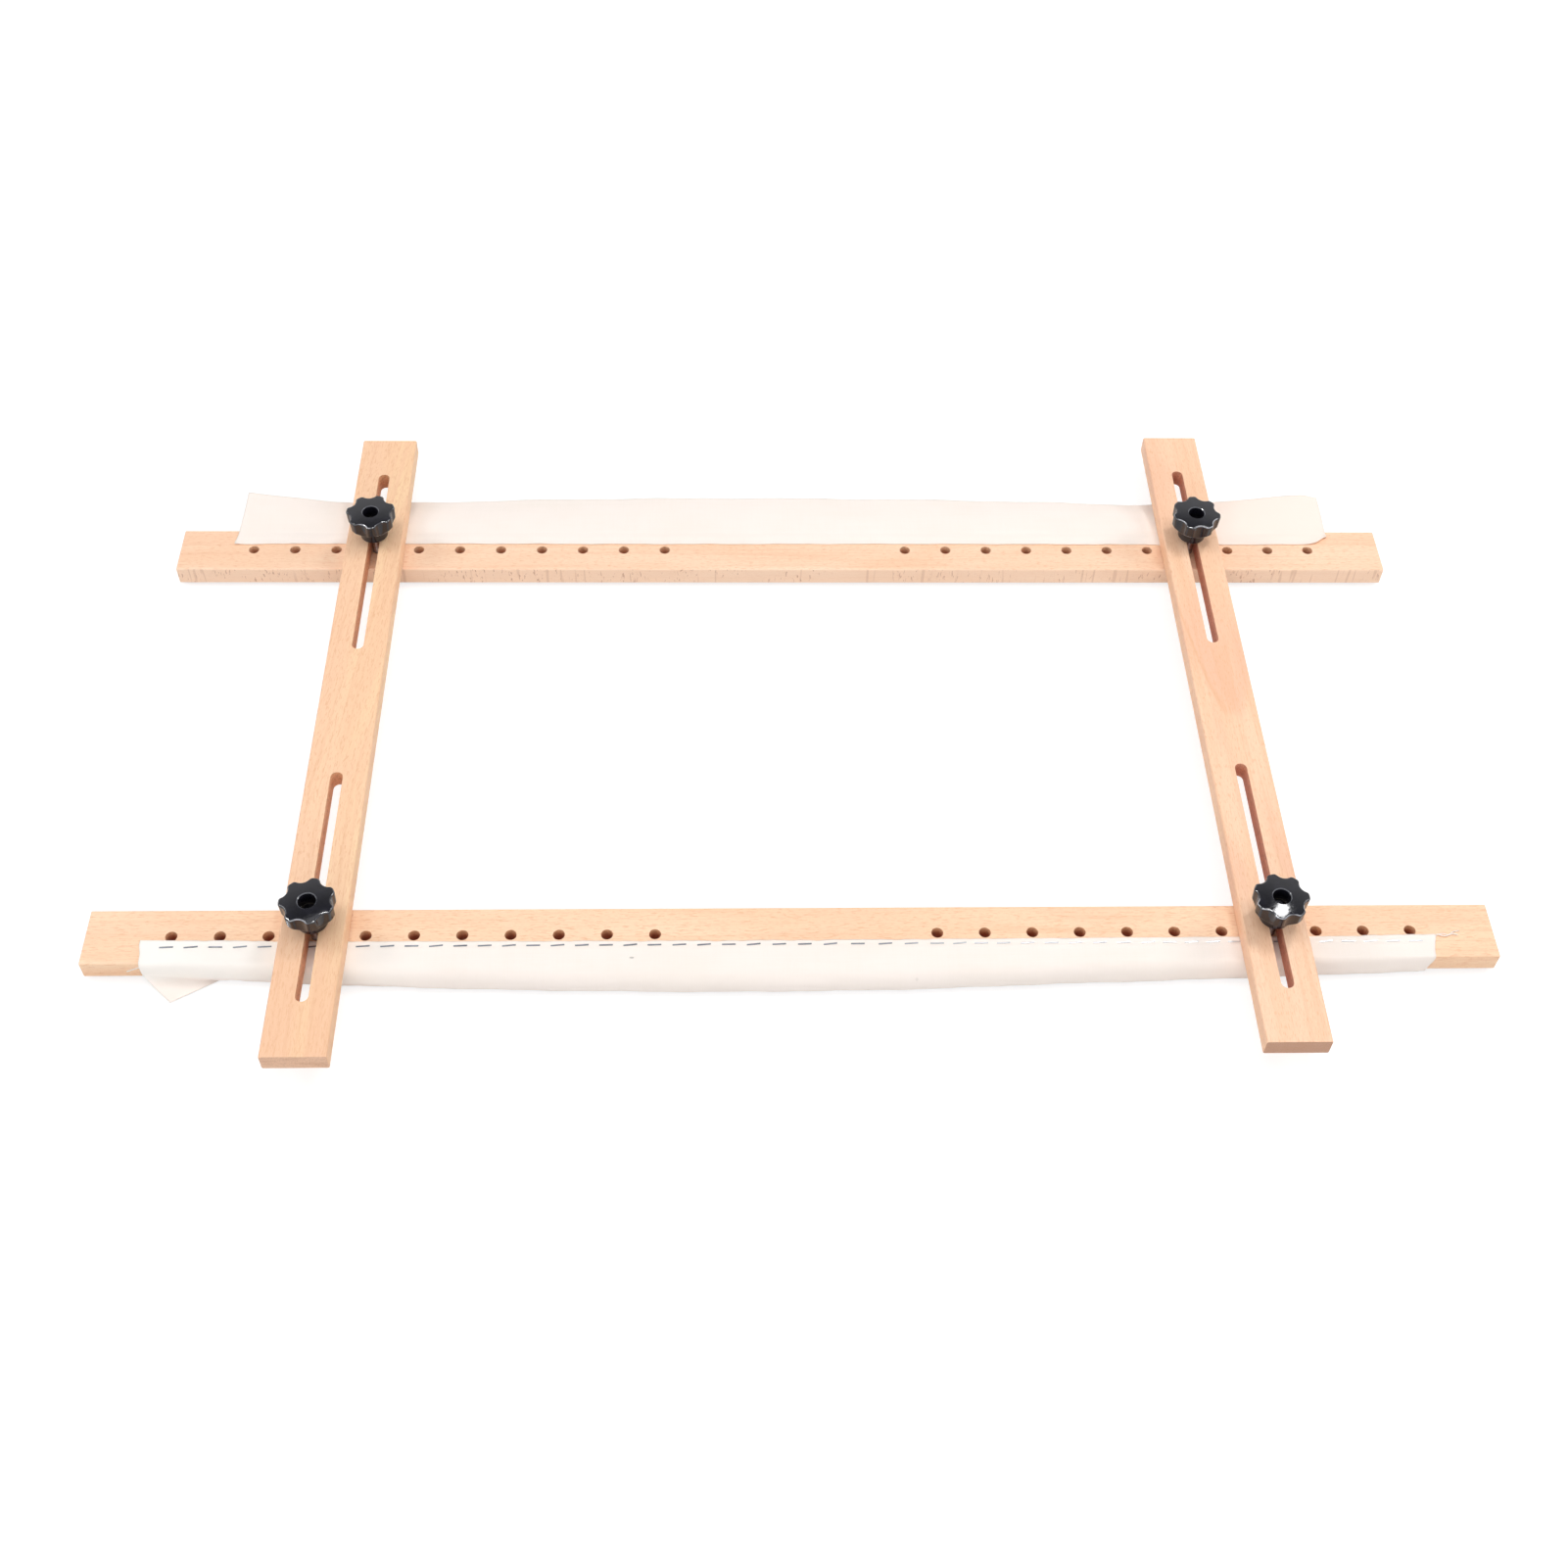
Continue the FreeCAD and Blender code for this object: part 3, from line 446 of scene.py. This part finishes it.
# The hole wall colours differ from piece to piece with how much light each piece's holes get: painted light
# and painted shade.
dress("front_rail", make_wood("beech_front_rail", "front_rail", 3.1, beech()))
dress("back_rail", make_wood(
    "beech_back_rail", "back_rail", 8.7,
    beech(light=linear(252, 216, 186), mid=linear(250, 208, 176), side=linear(250, 218, 192), side_share=0.7,
          wall=linear(248, 206, 170), deep=linear(212, 146, 112)),
    flecks=0.62,
))
dress("left_side_bar", make_wood(
    "beech_left_bar", "left_side_bar", 5.3,
    beech(light=linear(251, 213, 172), mid=linear(248, 204, 166), end=linear(232, 190, 160),
          wall=linear(246, 196, 154), deep=linear(236, 176, 136)),
    lean=0.09, two_tone=0.6, front_dark=0.35,
))
dress("right_side_bar", make_wood(
    "beech_right_bar", "right_side_bar", 12.9,
    beech(light=linear(252, 210, 178), mid=linear(249, 203, 168), pink=linear(244, 192, 162),
          end=linear(198, 154, 128), wall=linear(236, 176, 146), deep=linear(218, 146, 118)),
    lean=-0.02, tongue=True,
))

# The knobs' holes look nearly black, so the bushes and the bolts' tops carry painted shade:
# they are coloured far darker than brass and steel are.
bolt_steel = make_metal(
    "bolt_steel_plated", linear(206, 206, 212), linear(176, 176, 182), 0.16, 0.3, (0.5, 0.5, 2.6), 1.0,
    (2, 30, 36, linear(30, 30, 33)),
)
bush_brass = make_metal(
    "bush_brass_painted_shade", linear(30, 27, 24), linear(20, 19, 18), 0.4, 0.55, (2.2, 2.2, 0.5),
)
# The staples are coloured paler from 20 to 110 mm right of the middle: a painted reflection of a lamp.
staple_steel = make_metal(
    "staple_steel_wire", linear(136, 140, 147), linear(120, 124, 131), 0.3, 0.4, (0.2, 1.2, 1.2), 0.0,
    (0, 20, 110, linear(194, 195, 199)),
)
for corner in ("front_left", "front_right", "back_left", "back_right"):
    dress(f"{corner}_knob", make_knob_plastic(f"{corner}_knob_plastic", f"{corner}_knob"))
    dress(f"{corner}_bolt", bolt_steel)
    dress(f"{corner}_knob_bush", bush_brass)
for row in ("front_staples", "back_staples"):
    dress(row, staple_steel)

canvas = make_canvas("canvas_natural", linear(252, 242, 235))


def cloth_shell(name, grid, stations, across, material):
    """A closed sheet from a grid of points on its middle surface, in millimetres."""
    points = np.array(grid, dtype=float)
    long_way = np.gradient(points, axis=0)
    wide_way = np.gradient(points, axis=1)
    normals = np.cross(long_way, wide_way)
    normals /= np.linalg.norm(normals, axis=2, keepdims=True)
    upper = points + normals * CLOTH_THICKNESS / 2
    lower = points - normals * CLOTH_THICKNESS / 2
    rows, columns = points.shape[:2]
    vertices = np.concatenate([upper.reshape(-1, 3), lower.reshape(-1, 3)]) * MM
    count = rows * columns
    faces = []
    for i in range(rows - 1):
        for j in range(columns - 1):
            a, b = i * columns + j, (i + 1) * columns + j
            faces.append((a, b, b + 1, a + 1))
            faces.append((count + a, count + a + 1, count + b + 1, count + b))
    rim = [i * columns for i in range(rows)]
    rim += [(rows - 1) * columns + j for j in range(1, columns)]
    rim += [i * columns + columns - 1 for i in range(rows - 2, -1, -1)]
    rim += list(range(columns - 2, 0, -1))
    for here, there in zip(rim, rim[1:] + rim[:1]):
        faces.append((there, here, count + here, count + there))
    mesh = bpy.data.meshes.new(name)
    mesh.from_pydata(vertices.tolist(), [], faces)
    layer = mesh.uv_layers.new(name="cloth")
    places = [(u * MM, v * MM) for u in stations for v in across]
    for loop in mesh.loops:
        layer.data[loop.index].uv = places[loop.vertex_index % count]
    mesh.polygons.foreach_set("use_smooth", [True] * len(mesh.polygons))
    mesh.materials.append(material)
    mesh.validate()
    made = bpy.data.objects.new(name, mesh)
    bpy.context.scene.collection.objects.link(made)
    return made


def walk(path, count):
    """The same path with evenly spaced points."""
    steps = [0.0]
    for before, after in zip(path, path[1:]):
        steps.append(steps[-1] + math.dist(before, after))
    places = np.linspace(0, steps[-1], count)
    sides = [[point[axis] for point in path] for axis in range(len(path[0]))]
    return [tuple(np.interp(place, steps, side) for side in sides) for place in places]


def arc(middle, across, up, start, end, count):
    """Points of a quarter or half ellipse about a middle, as (distance, height)."""
    points = []
    for step in range(count):
        angle = mix(start, end, step / (count - 1))
        points.append((middle[0] + across * math.cos(angle), middle[1] + up * math.sin(angle)))
    return points


def bezier(corners, count):
    """Points along a smooth curve that four corners steer."""
    a, b, c, d = corners
    points = []
    for step in range(count):
        t = step / (count - 1)
        weights = ((1 - t) ** 3, 3 * t * (1 - t) ** 2, 3 * t * t * (1 - t), t ** 3)
        points.append(tuple(sum(w * p[k] for w, p in zip(weights, (a, b, c, d))) for k in range(3)))
    return points


def stations_of(start, end, fine, coarse, fine_length):
    """Places along a strip, close together near both of its ends."""
    places = [start]
    while places[-1] < end - 1e-6:
        edge = min(places[-1] - start, end - places[-1])
        places.append(min(places[-1] + (fine if edge < fine_length else coarse), end))
    return places


# The under layer is lifted off the rail by this much, and the upper one pressed onto it.
LAYER_NUDGE = 0.02
UNDER_LAYER = RAIL_TOP + CLOTH_THICKNESS / 2 + LAYER_NUDGE
UPPER_LAYER = RAIL_TOP + CLOTH_THICKNESS * 1.5 - LAYER_NUDGE
HALF_STRIP = STRIP_LENGTH / 2
STAPLE_COUNT = 53
STAPLE_MARGIN = 12.7
STAPLE_OUT = 7.1
# How far the staples stray from an even row: share of its length, and drift in staple steps.
STAPLE_DRIFT = [
    (0, 0), (0.154, 0.055), (0.385, 0.087), (0.46, 0.2), (0.52, 0.4), (0.56, 0.71), (0.60, 0.87),
    (0.65, 0.63), (0.69, 0.65), (0.77, 0.70), (0.85, 0.34), (0.92, 0.21), (1, 0.02),
]

# By x, and both from the hole row: the folded edge's distance, and the belly's reach.
FRONT_SEAM = [
    (-343, 2.6), (-300, 3.2), (-213, 4.1), (-59, 4.7), (71, 4.5), (176, 4.0), (307, 3.5), (343, 2.7),
]
FRONT_BELLY = [
    (-343, 17.8), (-303, 20.3), (-239, 24.0), (-162, 27.0), (-84, 28.9), (0, 29.4), (70, 28.2),
    (150, 25.3), (228, 23.0), (290, 20.6), (337, 19.2), (343, 19.0),
]
FRONT_HEM = 10
FOLD_HEIGHT = 4.1
FOLD_RADIUS = 3.8
BOLT_HEAD_ROOM = 8.4
# Roughly how much cloth the hem and the rail take, and how much the drop and the fold take.
LENGTH_ON_RAIL = 22
LENGTH_DOWN_AND_ROUND = 14


def staple_places():
    """Where the staples sit along a strip."""
    step = (STRIP_LENGTH - 2 * STAPLE_MARGIN) / (STAPLE_COUNT - 1)
    places = []
    for number in range(STAPLE_COUNT):
        share = number / (STAPLE_COUNT - 1)
        before = max(row for row in STAPLE_DRIFT if row[0] <= share)
        after = min(row for row in STAPLE_DRIFT if row[0] >= share)
        width = after[0] - before[0]
        drift = before[1] if width == 0 else mix(before[1], after[1], (share - before[0]) / width)
        places.append(STAPLE_MARGIN - HALF_STRIP + step * (number + drift))
    return places


STAPLE_PLACES = staple_places()


def staple_press(x):
    """1 at a staple's crown and 0 midway between two staples."""
    off = min(abs(x - place) for place in STAPLE_PLACES)
    return 1 - smooth((off - 3.0) / 3.0)


def front_hem_path(x):
    """Hem, fold and upper layer on the rail, up to its front edge."""
    press = staple_press(x)
    seam = along_table(FRONT_SEAM, x) + 0.12 * wave(x, 47, 0.1) + 0.08 * wave(x, 19, 0.6)
    seam -= 0.16 * (press - 0.5)
    radius = (UPPER_LAYER - UNDER_LAYER) / 2
    path = [(seam + share * FRONT_HEM, UNDER_LAYER) for share in (1.0, 0.75, 0.5, 0.3, 0.15)]
    path += arc((seam + radius, UNDER_LAYER + radius), -radius, -radius, math.pi / 2, -math.pi / 2, 7)
    for share in np.linspace(0.06, 1.0, 18):
        out = seam + share * FRONT_HEM
        staple = press * math.exp(-((out - STAPLE_OUT) / 1.3) ** 2)
        ridge = 0.12 * math.exp(-((out - seam - 1.2) / 0.8) ** 2)
        ridge += 0.1 * math.exp(-((out - STAPLE_OUT - 1.9) / 0.8) ** 2)
        path.append((out, UPPER_LAYER + ridge - 0.28 * staple))
    path.append((RAIL_HALF - 1.6, UPPER_LAYER - 0.02))
    return path


def front_belly_path(x):
    """Past the rail's edge: out and down, round and back under the rail."""
    belly = along_table(FRONT_BELLY, x) + 0.18 * wave(x, 61, 0.3) + 0.1 * wave(x, 23, 0.8)
    floor = FLOOR_GAP + CLOTH_THICKNESS / 2
    widest = floor + FOLD_HEIGHT + 0.3 * wave(x, 110, 0.2)
    start = (RAIL_HALF - 0.5, UPPER_LAYER - 0.1)
    path = arc((start[0], widest), belly - start[0], start[1] - widest, math.pi / 2, 0, 20)
    path += arc((belly - FOLD_RADIUS, widest), FOLD_RADIUS, floor - widest, 0, math.pi / 2, 9)[1:]
    used = LENGTH_ON_RAIL + 1.15 * (belly - RAIL_HALF) + LENGTH_DOWN_AND_ROUND
    tuck = max(BOLT_HEAD_ROOM, belly - FOLD_RADIUS - max(STRIP_WIDTH - used, 4))
    for share in (0.2, 0.4, 0.6, 0.8, 1.0):
        path.append((mix(belly - FOLD_RADIUS, tuck, share), floor + 0.25 * share))
    return path


# The loose left corner: its cut edge runs straight from the tip to where it goes under
# the belly, and a crease runs above it. Each place is (x, distance from the hole row, height).
FLAP_TIP = (-326.8, 32.4, 0.75)
FLAP_UNDER = (-280.0, 5.0, 0.8)
CREASE_START = (-342.2, 19.0, 6.5)
CREASE_END = (-300.0, 20.0, 2.6)
# How far along the strip the crease and the cut edge run, and where the corner fades out.
CREASE_LENGTH = 46
CUT_EDGE_LENGTH = 54
FLAP_FADE_START = 42
FLAP_FADE = 14


def flap_path(x, u):
    """The strip's loose corner: over the rail, down to a crease, and out flat on the floor."""
    start = (x, RAIL_HALF - 0.5, UPPER_LAYER - 0.1)
    share = min(u / CREASE_LENGTH, 1.0)
    crease = tuple(mix(a, b, share) for a, b in zip(CREASE_START, CREASE_END))
    end = tuple(mix(a, b, u / CUT_EDGE_LENGTH) for a, b in zip(FLAP_TIP, FLAP_UNDER))
    over = (x, RAIL_HALF + 1.6 + 1.4 * share, RAIL_TOP - 0.6)
    bulge = (mix(x, crease[0], 0.8), crease[1] + 0.9 * share, crease[2] + 3.4)
    upper = bezier((start, over, bulge, crease), 20)
    knee = tuple(mix(a, b, 0.25) for a, b in zip(crease, end))
    knee = (knee[0], knee[1], mix(crease[2], end[2], 0.6))
    rest = tuple(mix(a, b, 0.6) for a, b in zip(crease, end))
    lower = bezier((crease, knee, (rest[0], rest[1], end[2] + 0.1), end), 20)
    return upper + lower[1:]


# How far the right end draws in, by the distance across the strip.
FRONT_END_SHIFTS = [
    (0, 4.4), (5, 2.8), (10, 1.0), (15, 2.4), (19, 3.4), (24, 4.2), (30, 6.2), (36, 7.2), (52, 7.5),
]


def make_front_canvas():
    """Canvas stapled along the front rail, bellied out in front of it, with a loose left corner."""
    places = stations_of(-HALF_STRIP, HALF_STRIP, 1.0, 1.6, 62)
    hem_count, belly_count = 32, 46
    grid = []
    for x in places:
        u = x + HALF_STRIP
        hem = walk([(x, out, up) for out, up in front_hem_path(x)], hem_count)[:-1]
        general = walk([(x, out, up) for out, up in front_belly_path(x)], belly_count)
        loose = 1 - smooth((u - FLAP_FADE_START) / FLAP_FADE)
        if loose > 0:
            flap = walk(flap_path(x, u), belly_count)
            general = [tuple(mix(g, f, loose) for g, f in zip(a, b)) for a, b in zip(general, flap)]
        left = 1 - smooth(u / 5)
        right = smooth((x - (HALF_STRIP - 14)) / 14)
        row = []
        for index, (along, out, up) in enumerate(hem + general):
            v = STRIP_WIDTH * index / (hem_count + belly_count - 2)
            along -= right * along_table(FRONT_END_SHIFTS, v)
            along -= left * 1.6 * math.exp(-((v - 11) / 5) ** 2)
            if 12 < v < 22:
                up += 0.05 * wave(x, 31, 0.4)
            row.append((along, FRONT_ROW - out, up))
        grid.append(row)
    across = np.linspace(0, STRIP_WIDTH, len(grid[0]))
    return cloth_shell("front_canvas", grid, [x + HALF_STRIP for x in places], across, canvas)


# By x: the folded edge's distance from the hole row, and how far the free edge drops.
BACK_SEAM = [(-343, 4.4), (-300, 4.9), (-200, 5.0), (-60, 4.8), (90, 5.1), (240, 4.8), (343, 4.9)]
BACK_SAG = [
    (-343, -0.3), (-339, 0.0), (-310, 4.0), (-273, 7.4), (-229, 7.4), (-149, 5.0), (-62, 3.8), (0, 3.8),
    (94, 4.8), (175, 6.6), (229, 8.2), (280, 6.0), (309, 2.6), (335, 0.4), (343, 0.2),
]
BACK_HEM = 6.5
BACK_SEAM_INSET = 12.1
BACK_RIDGE = 5.3
# The back strip's middle layer stays this low, apart from its lifted corners, to pass under
# the side bars.
UNDER_BARS = RAIL_TOP + 0.74


def make_back_canvas():
    """Canvas folded back over its staples along the back rail, sticking out behind it."""
    places = stations_of(-HALF_STRIP, HALF_STRIP, 1.0, 1.9, 40)
    reach = STRIP_WIDTH - BACK_HEM - BACK_SEAM_INSET
    grid = []
    for x in places:
        seam = along_table(BACK_SEAM, x) + 0.16 * wave(x, 52, 0.2) + 0.1 * wave(x, 21, 0.5)
        sag = along_table(BACK_SAG, x)
        right = smooth((x - (HALF_STRIP - 17)) / 17)
        corner = smooth((x - (HALF_STRIP - 12)) / 12)
        left = 1 - smooth((x + HALF_STRIP) / 10)
        radius = (UPPER_LAYER - UNDER_LAYER) / 2 + 0.12
        path = [(seam + share * BACK_HEM, UNDER_LAYER) for share in (1.0, 0.75, 0.5, 0.25)]
        path += arc((seam + radius, UNDER_LAYER + radius), -radius, -radius, math.pi / 2, -math.pi / 2, 7)
        for share in np.linspace(0.05, 1.0, 16):
            out = seam + share * (RAIL_HALF - seam)
            ridge = 0.2 * math.exp(-((out - seam - BACK_RIDGE) / 0.7) ** 2)
            dip = 0.14 * math.exp(-((out - seam - 3.2) / 1.2) ** 2)
            settle = smooth((out - seam - BACK_HEM) / 3) * 0.3
            path.append((out, UPPER_LAYER + 0.12 + ridge - dip - settle))
        flat = path[-1][1]
        for step in range(1, 31):
            share = step / 30
            drop = sag * (0.2 * share + 0.8 * share * share)
            run = math.sqrt(max(reach ** 2 - sag ** 2, 0)) * share
            run -= 2.6 * corner * corner * share ** 6
            ripple = 0.3 * share * wave(x, 83, 0.15) + 0.15 * share * wave(x, 37, 0.55)
            path.append((RAIL_HALF + run, flat - drop + ripple))
        count = len(path)
        row = []
        for out, up in path:
            near_fold = math.exp(-((out - seam) / 4.5) ** 2)
            up = min(up, UNDER_BARS)
            up += 1.6 * right * near_fold + 0.5 * left * near_fold
            out += (1.4 * right + 4.2 * corner * corner) * near_fold
            shift = 0.8 * right * smooth((out - 9) / 30) - 0.6 * right * near_fold
            shift += left * mix(2.6, 3.2, smooth((out - 9) / 30)) - 1.0 * left * near_fold
            row.append((x + shift, BACK_ROW + out, up))
        grid.append(row[::-1])
    across = np.linspace(0, STRIP_WIDTH, count)
    return cloth_shell("back_canvas", grid, [x + HALF_STRIP for x in places], across, canvas)


THREAD_SIDES = 6
THREAD_WIDTH = 0.65


def make_thread(name, points):
    """A loose thread: a thin closed tube through points in millimetres."""
    spine = np.array(walk(points, 8 * len(points)))
    for _ in range(6):
        spine[1:-1] = (spine[:-2] + 2 * spine[1:-1] + spine[2:]) / 4
    way = np.gradient(spine, axis=0)
    way /= np.linalg.norm(way, axis=1, keepdims=True)
    side = np.cross(way, (0.13, 0.21, 1.0))
    side /= np.linalg.norm(side, axis=1, keepdims=True)
    top = np.cross(side, way)
    vertices = []
    for middle, a, b in zip(spine, side, top):
        for step in range(THREAD_SIDES):
            angle = 2 * math.pi * step / THREAD_SIDES
            off = (a * math.cos(angle) + b * math.sin(angle)) * THREAD_WIDTH / 2
            vertices.append(((middle + off) * MM).tolist())
    faces = []
    for ring in range(len(spine) - 1):
        for step in range(THREAD_SIDES):
            here = ring * THREAD_SIDES + step
            there = ring * THREAD_SIDES + (step + 1) % THREAD_SIDES
            faces.append((here, there, there + THREAD_SIDES, here + THREAD_SIDES))
    last = (len(spine) - 1) * THREAD_SIDES
    faces.append(tuple(range(THREAD_SIDES - 1, -1, -1)))
    faces.append(tuple(range(last, last + THREAD_SIDES)))
    mesh = bpy.data.meshes.new(name)
    mesh.from_pydata(vertices, [], faces)
    mesh.polygons.foreach_set("use_smooth", [True] * len(mesh.polygons))
    mesh.materials.append(canvas)
    made = bpy.data.objects.new(name, mesh)
    bpy.context.scene.collection.objects.link(made)
    return made


front_canvas = make_front_canvas()
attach(front_canvas, "front_rail")
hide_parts("front_cloth_strip")

back_canvas = make_back_canvas()
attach(back_canvas, "back_rail")
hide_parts("back_cloth_strip")

ON_RAIL = RAIL_TOP + 0.2
RAIL_FACE = FRONT_ROW - RAIL_HALF - 0.25
THREADS = {
    "frayed_thread_long": [
        (341.0, FRONT_ROW - 4.6, ON_RAIL + 0.2), (344.0, FRONT_ROW - 2.6, ON_RAIL),
        (347.0, FRONT_ROW - 2.4, ON_RAIL), (349.0, FRONT_ROW - 3.6, ON_RAIL),
        (351.5, FRONT_ROW - 1.4, ON_RAIL), (355.5, FRONT_ROW - 0.4, ON_RAIL),
    ],
    "frayed_thread_curl": [
        (342.5, FRONT_ROW - 3.0, ON_RAIL + 0.45), (347.0, FRONT_ROW - 4.4, ON_RAIL + 0.45),
        (351.5, FRONT_ROW - 2.6, ON_RAIL + 0.45), (354.0, FRONT_ROW - 3.6, ON_RAIL + 0.45),
    ],
    "loose_thread_left": [
        (-337.6, RAIL_FACE - 0.2, RAIL_TOP - 1.5), (-342.5, RAIL_FACE, RAIL_TOP - 2.6),
        (-350.4, RAIL_FACE, RAIL_TOP - 6.6),
    ],
}
for name, points in THREADS.items():
    thread = make_thread(name, points)
    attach(thread, "front_rail")


# The camera in metres and radians, matched to the photo by its holes, slots and corners.
CAMERA_PLACE = (-0.036946, -0.721864, 0.859817)
CAMERA_TURNS = (0.8981, 0.0217, 0.0209)
CAMERA_FOCUS_PIXELS = 1958.62
SENSOR = 36.0


def set_camera():
    """The photo's point of view."""
    tilt, roll, pan = CAMERA_TURNS
    to_view = (
        Matrix.Rotation(-(math.pi / 2 - tilt), 3, "X")
        @ Matrix.Rotation(roll, 3, "Y")
        @ Matrix.Rotation(pan, 3, "Z")
    )
    data = bpy.data.cameras.new("photo_camera")
    data.sensor_width = SENSOR
    data.lens = CAMERA_FOCUS_PIXELS / PHOTO_SIDE * SENSOR
    data.clip_start = 0.01
    camera = bpy.data.objects.new("photo_camera", data)
    camera.matrix_world = Matrix.Translation(CAMERA_PLACE) @ to_view.transposed().to_4x4()
    bpy.context.scene.collection.objects.link(camera)
    bpy.context.scene.camera = camera


FLOOR_HALF = 6.0
FLOOR_LEVEL = -0.0003
SHADOW_TONE = (0.40, 0.395, 0.395, 1)
FLOOR_GLOW = 0.74
FLOOR_COLOUR = (0.86, 0.86, 0.87, 1)


def make_floor():
    """A pale floor that the camera sees as white, apart from the object's faint shadow."""
    half, low = FLOOR_HALF, FLOOR_LEVEL
    mesh = bpy.data.meshes.new("floor")
    corners = [(-half, -half, low), (half, -half, low), (half, half, low), (-half, half, low)]
    mesh.from_pydata(corners, [], [(0, 1, 2, 3)])
    g = Graph("floor_white")
    tree = g.tree
    g.shader.inputs["Base Color"].default_value = FLOOR_COLOUR
    g.shader.inputs["Roughness"].default_value = 0.9
    g.shader.inputs["Specular IOR Level"].default_value = 0.0
    path = g.node("ShaderNodeLightPath")
    seen = tree.nodes.new("ShaderNodeBsdfDiffuse")
    seen.inputs["Color"].default_value = SHADOW_TONE
    glow = tree.nodes.new("ShaderNodeEmission")
    glow.inputs["Color"].default_value = (1, 1, 1, 1)
    glow.inputs["Strength"].default_value = FLOOR_GLOW
    lit = tree.nodes.new("ShaderNodeAddShader")
    tree.links.new(seen.outputs[0], lit.inputs[0])
    tree.links.new(glow.outputs[0], lit.inputs[1])
    choose = tree.nodes.new("ShaderNodeMixShader")
    tree.links.new(path.outputs["Is Camera Ray"], choose.inputs[0])
    tree.links.new(g.shader.outputs[0], choose.inputs[1])
    tree.links.new(lit.outputs[0], choose.inputs[2])
    tree.links.new(choose.outputs[0], g.output.inputs["Surface"])
    mesh.materials.append(g.material)
    floor = bpy.data.objects.new("floor", mesh)
    bpy.context.scene.collection.objects.link(floor)


# Name, place, target, width, height, power, and whether it shows in reflections alone.
LAMPS = [
    ("softbox_above", (-0.3, -0.2, 1.9), (0, 0, 0), 1.6, 1.2, 8.2, False),
    ("softbox_front", (-0.2, -2.0, 0.8), (0, 0, 0), 1.8, 0.9, 9.5, False),
    ("softbox_left", (-1.25, 0.2, 1.1), (-0.1, 0, 0), 0.4, 0.4, 4.6, False),
    ("softbox_right", (1.25, 0.1, 0.95), (0.1, 0, 0), 0.4, 0.4, 4, False),
    ("softbox_back_right", (0.61, 0.42, 1.385), (0.25, -0.15, 0.04), 0.19, 0.3, 5, False),
    ("glint_above", (0, -0.25, 1.6), (0, 0, 0), 0.34, 0.3, 34, True),
    ("glint_left", (-1.1, 0.0, 1.3), (0, 0, 0), 0.25, 0.3, 24, True),
]


def make_lamp(name, place, target, width, height, power, gloss_only):
    """A rectangular lamp that points at a target; a gloss-only one shows in reflections alone."""
    data = bpy.data.lights.new(name, "AREA")
    data.shape = "RECTANGLE"
    data.size = width
    data.size_y = height
    data.energy = power
    lamp = bpy.data.objects.new(name, data)
    lamp.location = place
    lamp.visible_diffuse = not gloss_only
    lamp.rotation_euler = (Vector(target) - Vector(place)).to_track_quat("-Z", "Y").to_euler()
    bpy.context.scene.collection.objects.link(lamp)


SKY_LEVEL = 0.46
MIRRORED_OVERHEAD = 0.15


def set_world():
    """White where the camera sees it; what gloss mirrors is white low down and dim overhead."""
    world = bpy.data.worlds.new("studio")
    bpy.context.scene.world = world
    world.use_nodes = True
    tree = world.node_tree

    def add(kind, settings=None):
        made = tree.nodes.new(kind)
        for key, value in (settings or {}).items():
            setattr(made, key, value)
        return made

    def choose(share, low, high):
        made = add("ShaderNodeMix")
        for index, value in ((0, share), (2, low), (3, high)):
            if isinstance(value, bpy.types.NodeSocket):
                tree.links.new(value, made.inputs[index])
            else:
                made.inputs[index].default_value = value
        return made.outputs[0]

    background = next(n for n in tree.nodes if n.type == "BACKGROUND")
    path = add("ShaderNodeLightPath")
    way = add("ShaderNodeSeparateXYZ")
    tree.links.new(add("ShaderNodeTexCoord").outputs["Generated"], way.inputs[0])
    mirrored = add("ShaderNodeMapRange", {"interpolation_type": "SMOOTHSTEP"})
    tree.links.new(way.outputs["Z"], mirrored.inputs["Value"])
    limits = {"From Min": 0.6, "From Max": 0.93, "To Min": 1.0, "To Max": MIRRORED_OVERHEAD}
    for name, number in limits.items():
        mirrored.inputs[name].default_value = number
    glossy = add("ShaderNodeMath", {"operation": "MAXIMUM"})
    tree.links.new(path.outputs["Is Glossy Ray"], glossy.inputs[0])
    tree.links.new(path.outputs["Is Transmission Ray"], glossy.inputs[1])
    lit = choose(glossy.outputs[0], SKY_LEVEL, mirrored.outputs["Result"])
    tree.links.new(choose(path.outputs["Is Camera Ray"], lit, 1.0), background.inputs["Strength"])
    background.inputs["Color"].default_value = (1, 1, 1, 1)


set_camera()
make_floor()
set_world()
for lamp in LAMPS:
    make_lamp(*lamp)
bpy.context.scene.view_settings.view_transform = "Standard"
